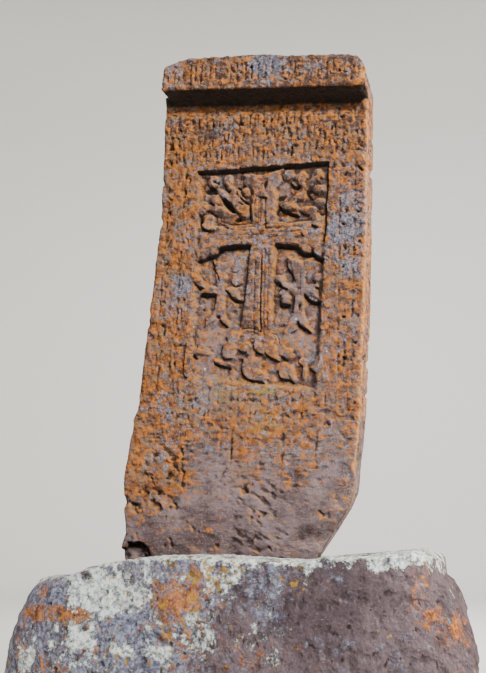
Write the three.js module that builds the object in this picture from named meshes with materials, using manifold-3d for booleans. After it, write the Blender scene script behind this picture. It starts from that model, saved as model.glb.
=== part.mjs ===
// A khachkar: an upright tuff slab with a cross cut into a sunken panel, standing on a boulder.
// Millimetres, +Z up, the carved face looks along -Y. The origin is on the ground under the slab.

import * as THREE from 'three';
import { mergeVertices } from 'three/addons/utils/BufferGeometryUtils.js';
import Module from 'manifold-3d';

const wasm = await Module();
wasm.setup();

// Driving dimensions of the whole work
const boulderHeight = 600;
const seatHeight = 585;
const restGap = 0.3;
const slabThickness = 190;
const slabLean = THREE.MathUtils.degToRad(3.26);

// The slab's own frame has its foot at height 0, where the boulder's top is on the whole.
// Edges are [height, across] pairs read up the slab's face.
const leftEdge = [
  [-60, -426], [10, -430], [60, -416], [200, -436], [255, -436], [350, -425], [450, -415],
  [520, -401], [700, -396], [890, -386], [1200, -374], [1350, -378], [1500, -386], [1700, -394],
];
const rightEdge = [
  [-60, 205], [20, 250], [80, 290], [120, 316], [170, 350], [234, 376], [400, 391], [526, 399],
  [867, 405], [1228, 405], [1700, 402],
];
const edgeWear = 12;
const sideRoughness = 5;
const backRoughness = 14;
const backTaper = 4;
// Below the inscription the face is only roughly dressed, more so towards the foot.
const footRoughness = 9;
const roughFrom = 330;
const roughBelow = 150;
const slabStations = { foot: -60, head: 1680, step: 58 };

// The cornice, as [across, height] pairs along its upper and lower front edges
const corniceTop = [
  [-376, 1780], [-368, 1797], [-336, 1808], [-272, 1822], [-143, 1813], [6, 1803], [98, 1786],
  [239, 1769], [348, 1757], [390, 1746], [402, 1720],
];
const corniceUnder = [[-376, 1692], [-213, 1679], [-17, 1660], [170, 1646], [402, 1624]];
const corniceReach = 90;
const corniceWear = 8;
const corniceRoot = 30;
const corniceChamfer = 12;
const corniceCrown = 6;
const coveHalfHeight = 36;
const coveDepth = 9;
const coveDrop = 32;
const coveSpan = [-480, 388];

// The sunken panel and what is left standing in it
const panelCorners = [[-237, 1388], [266, 1386], [263, 1100], [252, 552], [-232, 592], [-224, 900]];
const panelDepth = 24;
const reliefSet = 2;
const figureSet = 5;
const grooveDepth = 5;
const strokeDepth = 4;
const strokeWidth = 7;

// Small tools for shapes

// Reads a list of [at, value] knots with straight runs between them.
function along(knots, at) {
  const last = knots.length - 1;
  if (at <= knots[0][0]) return knots[0][1];
  if (at >= knots[last][0]) return knots[last][1];
  const next = knots.findIndex((knot) => knot[0] > at);
  const [a, valueA] = knots[next - 1];
  const [b, valueB] = knots[next];
  return valueA + ((valueB - valueA) * (at - a)) / (b - a);
}

// A hewn surface: a few crossed waves, between -1 and 1, the same each time.
function hewn(x, y, z) {
  const broad = Math.sin(x / 71 + z / 53 + 1.3) * Math.cos(z / 97 - y / 61);
  const fine = Math.sin(x / 29 - z / 37 + y / 41) * Math.cos(x / 43 + z / 31 + 2.1);
  return 0.6 * broad + 0.4 * fine;
}

// Skins a closed solid over rings that all have the same number of points.
function loft(rings) {
  const count = rings[0].length;
  const points = rings.flat();
  const faces = [];
  for (let ring = 0; ring < rings.length - 1; ring += 1) {
    for (let i = 0; i < count; i += 1) {
      const a = ring * count + i;
      const b = ring * count + ((i + 1) % count);
      faces.push(a, b, b + count, a, b + count, a + count);
    }
  }
  const caps = [[rings[0], 0, true], [rings.at(-1), (rings.length - 1) * count, false]];
  for (const [ring, first, turned] of caps) {
    const middle = points.length;
    const centre = new THREE.Vector3();
    ring.forEach((point) => centre.add(point));
    points.push(centre.divideScalar(count));
    for (let i = 0; i < count; i += 1) {
      const next = (i + 1) % count;
      faces.push(middle, first + (turned ? next : i), first + (turned ? i : next));
    }
  }
  const geometry = new THREE.BufferGeometry().setFromPoints(points);
  geometry.setIndex(faces);
  return geometry;
}

function solid(geometry) {
  const bare = geometry.clone();
  bare.deleteAttribute('normal');
  bare.deleteAttribute('uv');
  const merged = mergeVertices(bare, 1e-3);
  const mesh = new wasm.Mesh({
    numProp: 3,
    vertProperties: new Float32Array(merged.attributes.position.array),
    triVerts: new Uint32Array(merged.index.array),
  });
  mesh.merge();
  return new wasm.Manifold(mesh);
}

function geometryOf(body) {
  const mesh = body.getMesh();
  const geometry = new THREE.BufferGeometry();
  geometry.setAttribute('position', new THREE.BufferAttribute(mesh.vertProperties, 3));
  geometry.setIndex(new THREE.BufferAttribute(mesh.triVerts, 1));
  const faceted = geometry.toNonIndexed();
  faceted.computeVertexNormals();
  return faceted;
}

function joined(bodies) {
  return bodies.reduce((sum, body) => sum.add(body));
}

// A flat outline in the slab's face, given as [across, height], made solid between two levels.
// Levels are counted outwards from the face.
function slice(outline, lowLevel, highLevel) {
  const shape = new THREE.Shape(outline.map(([x, z]) => new THREE.Vector2(x, z)));
  const geometry = new THREE.ExtrudeGeometry(shape, {
    depth: highLevel - lowLevel,
    bevelEnabled: false,
  });
  geometry.translate(0, 0, lowLevel);
  geometry.rotateX(Math.PI / 2);
  return solid(geometry);
}

// Outlines of carved forms

// A rounded leaf or berry: middle, half width, half height and turn in degrees.
function lobe([x, z, halfWidth, halfHeight, turn = 0]) {
  const sides = 10;
  const ellipse = new THREE.EllipseCurve(
    x, z, halfWidth, halfHeight, 0, 2 * Math.PI, false, THREE.MathUtils.degToRad(turn),
  );
  return ellipse.getPoints(sides).slice(0, sides).map((point) => [point.x, point.y]);
}

// A stalk from one point to another, with a half width at each end.
function stalk([x0, z0, x1, z1, half0, half1]) {
  const run = new THREE.Vector2(x1 - x0, z1 - z0).normalize();
  const side = new THREE.Vector2(-run.y, run.x);
  const at = (x, z, half, ahead) => [
    x + side.x * half + run.x * ahead, z + side.y * half + run.y * ahead,
  ];
  return [
    at(x0, z0, half0, 0), at(x0, z0, 0, -half0 / 2), at(x0, z0, -half0, 0),
    at(x1, z1, -half1, 0), at(x1, z1, 0, half1 / 2), at(x1, z1, half1, 0),
  ];
}

// An arm of a cross that flares in a curve from its neck to its end. A notch forks the end.
function flaredArm({ from, to, neck, end, straight, notch }) {
  const start = new THREE.Vector2(...from);
  const run = new THREE.Vector2(...to).sub(start);
  const length = run.length();
  run.divideScalar(length);
  const side = new THREE.Vector2(-run.y, run.x);
  const steps = 5;
  const flank = [];
  for (let step = 0; step <= steps; step += 1) {
    const part = step / steps;
    flank.push([length * (straight + (1 - straight) * part), neck + (end - neck) * part ** 2]);
  }
  const place = (ahead, off) => [
    start.x + run.x * ahead + side.x * off, start.y + run.y * ahead + side.y * off,
  ];
  return [
    place(0, neck),
    ...flank.map(([ahead, off]) => place(ahead, off)),
    place(length - notch, 0),
    ...flank.reverse().map(([ahead, off]) => place(ahead, -off)),
    place(0, -neck),
  ];
}

// The main cross: a wide upper arm that spreads to the panel's top, two arms with curved upper
// edges, and a long stem.
const mainArms = [
  { from: [32, 1130], to: [22, 1330], neck: 49, end: 68, straight: 0.62, notch: 0 },
  { from: [19, 1285], to: [15, 1371], neck: 68, end: 80, straight: 0.3, notch: 4 },
  { from: [20, 1133], to: [-146, 1141], neck: 46, end: 60, straight: 0.45, notch: 0 },
  { from: [20, 1133], to: [170, 1131], neck: 48, end: 61, straight: 0.35, notch: 0 },
  { from: [34, 1130], to: [26, 790], neck: 54, end: 59, straight: 0.3, notch: 0 },
];
const mainArmLobes = [
  [-177, 1176, 24, 18], [-183, 1128, 24, 22], [-168, 1083, 26, 24], [-214, 1074, 18, 24],
  [222, 1180, 26, 20], [220, 1120, 26, 24], [190, 1078, 24, 28], [238, 1062, 24, 28],
];
// Band grooves that follow the arms, each from one point to another
const mainGrooves = [
  [0, 1340, 10, 840], [60, 1300, 66, 840], [30, 1010, 28, 830],
  [-125, 1162, 165, 1160], [-120, 1112, 160, 1108], [8, 1268, 46, 1268],
];

// Leafed crosslets that grow from the crotches of the upper arms
const upperLeft = {
  lobes: [
    [-177, 1350, 23, 25], [-118, 1350, 21, 27], [-162, 1277, 23, 22], [-212, 1245, 20, 28],
    [-142, 1230, 25, 19], [-48, 1220, 24, 28],
  ],
  stalks: [[-152, 1312, -66, 1230, 15, 16], [-206, 1250, -140, 1232, 13, 13]],
};
const upperRight = {
  lobes: [
    [114, 1350, 23, 24], [163, 1340, 21, 27, -25], [221, 1341, 27, 31], [166, 1270, 26, 27],
    [226, 1287, 27, 20], [235, 1238, 27, 19], [130, 1230, 36, 18, -25],
  ],
  stalks: [[112, 1226, 205, 1325, 13, 14]],
};

// Two small crosses beside the stem, with forked arms
const leftCross = {
  arms: [
    { from: [-118, 920], to: [-125, 1032], neck: 13, end: 31, straight: 0.25, notch: 10 },
    { from: [-118, 922], to: [-208, 932], neck: 13, end: 28, straight: 0.3, notch: 18 },
    { from: [-118, 922], to: [-36, 915], neck: 13, end: 36, straight: 0.2, notch: 12 },
    { from: [-118, 925], to: [-122, 784], neck: 13, end: 44, straight: 0.3, notch: 32 },
  ],
  lobes: [[-206, 962, 22, 16]],
};
const rightCross = {
  arms: [
    { from: [167, 918], to: [171, 1034], neck: 14, end: 48, straight: 0.25, notch: 14 },
    { from: [167, 918], to: [88, 930], neck: 14, end: 26, straight: 0.3, notch: 14 },
    { from: [167, 918], to: [257, 908], neck: 14, end: 44, straight: 0.25, notch: 24 },
    { from: [167, 920], to: [171, 752], neck: 14, end: 50, straight: 0.3, notch: 38 },
  ],
  lobes: [[102, 958, 20, 16], [125, 884, 20, 27], [236, 958, 22, 18]],
};

// The weathered scene under the stem: heads and bodies in a row, a beast and a fallen staff
const figureLobes = [
  [-60, 750, 25, 25], [-14, 709, 26, 26], [22, 742, 19, 20], [30, 706, 23, 24], [72, 737, 21, 22],
  [135, 688, 30, 22, -20], [12, 662, 34, 36], [238, 635, 17, 14, -30], [186, 650, 17, 15],
];
const figureStalks = [
  [-70, 722, -62, 672, 30, 30], [70, 700, 84, 664, 30, 26], [-8, 662, 70, 606, 26, 24],
  [40, 596, 78, 588, 20, 10], [-122, 660, -56, 641, 9, 8], [-216, 728, -216, 604, 12, 15],
  [-197, 688, -135, 676, 15, 7], [140, 650, 132, 608, 12, 24], [160, 640, 172, 586, 9, 9],
  [199, 672, 196, 592, 12, 12], [250, 620, 249, 582, 5, 5],
];

// Rows of shallow strokes in the place of the inscription. Each row runs from one point to
// another, and says how tall its strokes are and how many places it has.
const signRows = [
  { from: [-340, 1748], to: [370, 1692], tall: 76, places: 15, level: corniceReach },
  { from: [-360, 1576], to: [380, 1566], tall: 56, places: 14, level: 0 },
  { from: [-360, 1508], to: [380, 1500], tall: 54, places: 13, level: 0 },
  { from: [-360, 1444], to: [380, 1438], tall: 50, places: 12, level: 0 },
  { from: [-375, 540], to: [370, 520], tall: 56, places: 12, level: 0 },
  { from: [-365, 470], to: [350, 455], tall: 52, places: 9, level: 0 },
];
const sideColumns = [
  { across: -340, top: 1380, bottom: 640, places: 8 },
  { across: -258, top: 1340, bottom: 660, places: 7 },
  { across: 335, top: 1370, bottom: 640, places: 8 },
];
const longStrokes = [
  [-80, 420, -82, 330], [-40, 425, -42, 300], [140, 410, 138, 320], [255, 420, 250, 340],
];

// The broken lower left corner, cut away under a small lip
const footNotch = [
  [-470, -80], [-296, -80], [-318, 14], [-352, 34], [-400, 24], [-424, 2], [-470, -4],
];
const footNotchDepth = 32;

// How far back the slab's rear face lies
function backFace(x, height) {
  return slabThickness - (backRoughness / 2) * (1 + hewn(x, slabThickness, height));
}

function slabBody() {
  const stations = [];
  const { foot, head, step } = slabStations;
  for (let height = foot; height <= head; height += step) stations.push(height);
  const frontPoints = 4;
  const backPoints = 6;
  const rings = stations.map((height) => {
    const left = along(leftEdge, height);
    const right = along(rightEdge, height);
    const sideShift = (x, y) => sideRoughness * hewn(x, y, height);
    const ring = [];
    const bare = 1 - THREE.MathUtils.smoothstep(height, roughBelow, roughFrom);
    for (let i = 0; i < frontPoints; i += 1) {
      const x = left + edgeWear + ((right - left - 2 * edgeWear) * i) / (frontPoints - 1);
      ring.push(new THREE.Vector3(x, bare * footRoughness * (1 + hewn(x, 0, height)), height));
    }
    ring.push(new THREE.Vector3(right, edgeWear, height));
    const middle = slabThickness / 2;
    ring.push(new THREE.Vector3(right + sideShift(right, middle), middle, height));
    for (let i = 0; i < backPoints; i += 1) {
      const x = right - backTaper - ((right - left - 2 * backTaper) * i) / (backPoints - 1);
      ring.push(new THREE.Vector3(x, backFace(x, height), height));
    }
    ring.push(new THREE.Vector3(left - sideShift(left, middle), middle, height));
    ring.push(new THREE.Vector3(left, edgeWear, height));
    return ring;
  });
  return solid(loft(rings));
}

// Runs the cornice's section along the slab's top. Its back is the slab's back.
function cornice() {
  const stations = corniceTop.map((knot) => knot[0]);
  const rings = stations.map((x, index) => {
    const top = along(corniceTop, x);
    const under = along(corniceUnder, x);
    const isEnd = index === 0 || index === stations.length - 1;
    const worn = isEnd ? corniceWear : 0;
    const crown = isEnd ? 0 : corniceCrown;
    const back = backFace(x, slabStations.head);
    const front = worn - corniceReach;
    const section = [
      [back, under - corniceRoot], [back, top - corniceChamfer - worn],
      [slabThickness / 3, top + crown], [front + corniceChamfer, top],
      [front, top - corniceChamfer], [front, under + corniceChamfer / 2],
      [front + corniceChamfer / 2, under], [corniceWear, under],
      [corniceRoot, under - corniceRoot],
    ];
    return section.map(([y, z]) => new THREE.Vector3(x, y, z));
  });
  return solid(loft(rings));
}

// The hollow under the cornice, a shallow round scoop that stops short of the right side
function cove() {
  const start = new THREE.Vector3(coveSpan[0], 0, along(corniceUnder, coveSpan[0]));
  const stop = new THREE.Vector3(coveSpan[1], 0, along(corniceUnder, coveSpan[1]));
  const length = start.distanceTo(stop);
  const scoop = new THREE.CylinderGeometry(coveHalfHeight, coveHalfHeight, length, 16);
  scoop.rotateZ(Math.PI / 2);
  scoop.scale(1, coveDepth / coveHalfHeight, 1);
  scoop.rotateY(Math.atan2(start.z - stop.z, stop.x - start.x));
  const middle = start.add(stop).multiplyScalar(0.5);
  scoop.translate(middle.x, 0, middle.z - coveDrop);
  return solid(scoop);
}

// A cut with straight sides along a line in the face, sunk to a depth under the given level
function chiselled([x0, z0, x1, z1], width, level, depth) {
  return slice(stalk([x0, z0, x1, z1, width / 2, width / 2]), level - depth, level + 12);
}

// Strokes of five plain kinds follow each other. None of them joins up to a letter.
function signStrokes({ from, to, tall, places, level }) {
  const strokes = [];
  const run = new THREE.Vector2(to[0] - from[0], to[1] - from[1]);
  for (let place = 0; place < places; place += 1) {
    const part = (place + 0.2 * Math.sin(place * 2.3)) / (places - 1);
    const x = from[0] + run.x * part;
    const z = from[1] + run.y * part;
    const half = (tall / 2) * (0.8 + 0.2 * Math.sin(place * 3.7 + from[1]));
    const kind = (place * 3 + Math.round(from[1])) % 5;
    if (kind !== 3) strokes.push([x, z + half, x - 1, z - half]);
    if (kind === 1) strokes.push([x + 14, z + half, x + 13, z - half * 0.1]);
    if (kind === 3) strokes.push([x - 9, z + half * 0.7, x + 10, z - half * 0.8]);
    if (kind === 4) strokes.push([x + 10, z - half * 0.6, x + 28, z - half * 0.7]);
  }
  return strokes.map((stroke) => chiselled(stroke, strokeWidth, level, strokeDepth));
}

function columnStrokes({ across, top, bottom, places }) {
  const strokes = [];
  for (let place = 0; place < places; place += 1) {
    const z = top + ((bottom - top) * place) / (places - 1);
    const lean = 4 * Math.sin(place * 2.9 + across);
    const half = 24 + 6 * Math.cos(place * 1.7);
    strokes.push([across + lean, z + half, across - lean, z - half]);
    if (place % 2 === 0) strokes.push([across + 12, z - half * 0.5, across + 30, z - half * 0.6]);
  }
  return strokes.map((stroke) => chiselled(stroke, strokeWidth, 0, strokeDepth));
}

function relief() {
  const floor = -panelDepth - 4;
  const standing = (outline) => slice(outline, floor, -reliefSet);
  const figure = (outline) => slice(outline, floor, -figureSet);
  const leaves = [upperLeft, upperRight].flatMap((leaf) => [
    ...leaf.lobes.map(lobe), ...leaf.stalks.map(stalk),
  ]);
  const crosses = [leftCross, rightCross].flatMap((cross) => [
    ...cross.arms.map(flaredArm), ...cross.lobes.map(lobe),
  ]);
  const main = joined([
    ...mainArms.map(flaredArm), ...mainArmLobes.map(lobe),
  ].map(standing));
  const grooves = mainGrooves.map((line) => chiselled(line, 6, -reliefSet, grooveDepth));
  return joined([
    main.subtract(joined(grooves)),
    ...leaves.map(standing),
    ...crosses.map(standing),
    ...figureLobes.map(lobe).map(figure),
    ...figureStalks.map(stalk).map(figure),
  ]);
}

function carvedSlab() {
  const panelRoom = slice(panelCorners, -panelDepth, 200);
  const panelFill = slice(panelCorners, -panelDepth - 4, -1);
  const strokes = [
    ...signRows.flatMap(signStrokes),
    ...sideColumns.flatMap(columnStrokes),
    ...longStrokes.map((stroke) => chiselled(stroke, strokeWidth, 0, strokeDepth)),
  ];
  const ground = new THREE.BoxGeometry(2000, 1000, 400);
  ground.translate(0, 0, seatHeight + restGap - boulderHeight - 200);
  ground.rotateY(-slabLean);
  const cutFoot = slice(footNotch, -footNotchDepth, 60);
  return slabBody()
    .add(cornice())
    .subtract(cove())
    .subtract(panelRoom)
    .add(relief().intersect(panelFill))
    .subtract(joined(strokes))
    .subtract(cutFoot)
    .subtract(solid(ground));
}

// The boulder. Its plan is a rounded oblong, and each height has its own reach.
const boulderMiddle = [10, 70];
const boulderHalfWidth = [[0, 744], [250, 748], [370, 738], [450, 718], [530, 686], [600, 630]];
const boulderHalfDepth = [[0, 440], [300, 450], [450, 430], [540, 405], [600, 370]];
const boulderSquareness = 4.2;
const boulderRoughness = 16;
const boulderSideHeights = [0, 90, 190, 290, 380, 450, 505, 550];
const boulderShoulder = boulderSideHeights.at(-1);
const shoulderDrop = 14;
// Rings of the top, each a share of the shoulder's reach, and how far each lies under the crest
const boulderTopRings = [[0.985, 6], [0.93, 0], [0.84, 0], [0.7, 0], [0.5, 0], [0.25, 0]];
const topRoughness = 3;
const hewnStretch = 0.6;
// The crest of the boulder's top, as [across, height] pairs
const boulderCrest = [
  [-700, 528], [-600, 543], [-500, 552], [-440, 560], [-400, 578], [-310, 594], [-180, 611],
  [-50, 614], [80, 607], [280, 600], [340, 611], [470, 618], [590, 630], [645, 620], [700, 560],
];
const socketJoint = 12;
const socketSpan = [-441, 278];

// A ring of points around the boulder at one height, drawn in to a share of its full reach
function boulderRing(height, share, levelAt) {
  const turns = 40;
  const corner = 2 / boulderSquareness;
  const ring = [];
  for (let i = 0; i < turns; i += 1) {
    const turn = (2 * Math.PI * i) / turns;
    const c = Math.cos(turn);
    const s = Math.sin(turn);
    const halfWidth = share * along(boulderHalfWidth, height);
    const halfDepth = share * along(boulderHalfDepth, height);
    const x = boulderMiddle[0] + halfWidth * Math.sign(c) * Math.abs(c) ** corner;
    const y = boulderMiddle[1] + halfDepth * Math.sign(s) * Math.abs(s) ** corner;
    const [rx, ry, rz] = [x, y, height].map((value) => value * hewnStretch);
    const out = boulderRoughness * (hewn(rx, ry, rz) - 0.5);
    const point = new THREE.Vector3(x + out * c, y + out * s, height);
    point.z = levelAt(point);
    ring.push(point);
  }
  return ring;
}

function boulderBody() {
  const crest = (point) => along(boulderCrest, point.x);
  const sides = boulderSideHeights.map((height) => boulderRing(height, 1, (point) => {
    const shoulder = crest(point) - shoulderDrop;
    return Math.min(height, (height / boulderShoulder) * shoulder);
  }));
  const top = boulderTopRings.map(([share, drop]) => boulderRing(boulderShoulder, share, (point) => (
    crest(point) - drop + topRoughness * hewn(point.x, point.y, 0)
  )));
  return solid(loft([...sides, ...top]));
}

function baseBoulder() {
  const [start, stop] = socketSpan;
  const socketHeight = 200;
  const foot = new THREE.BoxGeometry(stop - start, slabThickness + 2 * socketJoint, socketHeight);
  foot.translate((start + stop) / 2, slabThickness / 2, seatHeight + socketHeight / 2);
  return boulderBody().subtract(solid(foot));
}

// The two pieces, each with its own stone
const slabStone = new THREE.MeshStandardMaterial({
  color: new THREE.Color('#7a6157'), roughness: 0.94, metalness: 0,
});
const boulderStone = new THREE.MeshStandardMaterial({
  color: new THREE.Color('#7c6d6d'), roughness: 0.96, metalness: 0,
});

const slab = new THREE.Mesh(geometryOf(carvedSlab()), slabStone);
slab.name = 'carved_slab';
const standing = new THREE.Group();
standing.position.z = boulderHeight;
standing.rotation.y = slabLean;
standing.add(slab);

const boulder = new THREE.Mesh(geometryOf(baseBoulder()), boulderStone);
boulder.name = 'base_boulder';

const khachkar = new THREE.Group();
khachkar.add(standing, boulder);

export default khachkar;
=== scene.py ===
import math

import bpy
import numpy as np
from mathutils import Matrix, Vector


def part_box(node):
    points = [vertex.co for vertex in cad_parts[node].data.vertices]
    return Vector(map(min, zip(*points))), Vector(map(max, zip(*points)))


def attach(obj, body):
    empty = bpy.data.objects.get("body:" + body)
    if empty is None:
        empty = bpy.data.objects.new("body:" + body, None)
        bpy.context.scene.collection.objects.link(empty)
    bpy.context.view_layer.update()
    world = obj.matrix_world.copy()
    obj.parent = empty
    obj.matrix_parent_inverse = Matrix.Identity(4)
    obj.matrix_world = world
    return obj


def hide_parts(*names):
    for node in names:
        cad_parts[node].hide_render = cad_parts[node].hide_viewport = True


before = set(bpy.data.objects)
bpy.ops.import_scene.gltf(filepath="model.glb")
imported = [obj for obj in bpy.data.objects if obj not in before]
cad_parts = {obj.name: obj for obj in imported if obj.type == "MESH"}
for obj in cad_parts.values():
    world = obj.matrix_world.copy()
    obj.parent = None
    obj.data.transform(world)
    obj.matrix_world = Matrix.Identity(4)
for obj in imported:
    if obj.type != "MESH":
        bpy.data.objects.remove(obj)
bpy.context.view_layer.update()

# The carved slab
# One upright block of purple-brown volcanic tuff, split from the quarry, dressed with a point chisel
# and carved with a cross in a sunken panel. Its head was left standing proud as a cornice.
# It carries centuries of weather: rounded edges, pits, orange and grey lichen, a broken foot.

# The slab's own frame, in millimetres: u across, v up from the boulder's top, w out of the face
slab_level = 600
slab_lean = math.radians(3.26)
seat_level = 585.3        # underside of the slab, above the ground
slab_thickness = 190
left_edge = [
    [-60, -426], [10, -430], [60, -416], [200, -436], [255, -436], [350, -425], [450, -415],
    [520, -401], [700, -396], [890, -386], [1200, -374], [1350, -378], [1500, -386], [1700, -394],
]
right_edge = [
    [-60, 205], [20, 250], [80, 290], [120, 316], [170, 350], [234, 376], [400, 391], [526, 399],
    [867, 405], [1228, 405], [1700, 402],
]
cornice_top = [
    [-376, 1780], [-368, 1797], [-336, 1808], [-272, 1822], [-143, 1813], [6, 1803], [98, 1786],
    [239, 1769], [336, 1759], [368, 1750], [388, 1737], [402, 1708],
]
cornice_under = [[-376, 1692], [-213, 1679], [-17, 1660], [170, 1646], [402, 1624]]
cornice_reach = 90
cornice_left = -376
cornice_right = 402
lip_radius = 6
shoulder_radius = 12
# The cove under the cornice: how far down its middle lies, its half height and its depth
cove_drop, cove_half_height, cove_depth = 32, 36, 9

panel_corners = [[-237, 1388], [266, 1386], [263, 1100], [252, 552], [-232, 592], [-224, 900]]
panel_depth = 24

# The main cross: where each arm starts and ends, its half widths, the share of it that is
# straight, and how deep its end is forked
main_arms = [
    [(32, 1130), (24, 1290), 49, 52, 0.6, 0],
    [(24, 1262), (15, 1376), 46, 84, 0.1, 12],
    [(20, 1133), (-226, 1118), 44, 84, 0.42, 10],
    [(20, 1133), (256, 1118), 44, 76, 0.42, 10],
    [(34, 1130), (22, 782), 50, 60, 0.3, 0],
]
small_cross_arms = [
    [(-118, 920), (-118, 1040), 20, 44, 0.15, 10],
    [(-118, 922), (-214, 928), 18, 34, 0.2, 16],
    [(-118, 922), (-38, 912), 18, 34, 0.2, 10],
    [(-118, 925), (-124, 784), 20, 50, 0.3, 28],
    [(167, 918), (171, 1040), 22, 52, 0.2, 12],
    [(167, 918), (92, 926), 20, 34, 0.3, 12],
    [(167, 918), (257, 908), 20, 44, 0.2, 20],
    [(167, 920), (171, 756), 22, 54, 0.3, 34],
]
# Leaves and berries: middle, half width, half height, turn in degrees
leaf_lobes = [
    [-177, 1176, 24, 18], [-183, 1128, 24, 22], [-168, 1083, 26, 24], [-214, 1074, 18, 24],
    [222, 1180, 26, 20], [220, 1120, 26, 24], [190, 1078, 24, 28], [238, 1062, 24, 28],
    [-177, 1350, 23, 25], [-118, 1350, 21, 27], [-162, 1277, 23, 22], [-212, 1245, 20, 28],
    [-142, 1230, 25, 19], [-48, 1220, 24, 28], [114, 1350, 23, 24], [163, 1340, 21, 27, -25],
    [221, 1341, 27, 31], [166, 1270, 26, 27], [226, 1287, 27, 20], [235, 1238, 27, 19],
    [130, 1230, 36, 18, -25], [-206, 962, 22, 16], [102, 958, 20, 16], [125, 884, 20, 27],
    [236, 958, 22, 18], [-30, 1340, 26, 30], [-44, 1296, 20, 24], [64, 1336, 26, 28],
    [-84, 1285, 24, 30, 40], [190, 1210, 34, 18], [-230, 1300, 16, 30], [-190, 1195, 34, 22],
]
# Stalks: start, end, half width at each
leaf_stalks = [
    [-152, 1312, -66, 1230, 15, 16], [-206, 1250, -140, 1232, 13, 13],
    [112, 1226, 205, 1325, 13, 14], [-118, 1330, -60, 1270, 12, 14], [150, 1335, 180, 1290, 12, 12],
]
figure_lobes = [
    [-60, 750, 25, 25], [-14, 709, 26, 26], [22, 742, 19, 20], [30, 706, 23, 24],
    [72, 737, 21, 22], [135, 688, 30, 22, -20], [12, 640, 34, 46], [238, 635, 17, 14, -30],
    [190, 656, 17, 15],
]
figure_stalks = [
    [-70, 708, -70, 690, 27, 27], [70, 700, 84, 684, 28, 24], [8, 640, 50, 606, 22, 14],
    [-122, 664, -60, 648, 6, 6], [-216, 728, -216, 618, 12, 14],
    [-197, 700, -150, 686, 12, 7], [128, 650, 126, 612, 12, 14], [150, 640, 168, 592, 9, 9],
    [204, 660, 202, 600, 8, 8],
]
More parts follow.
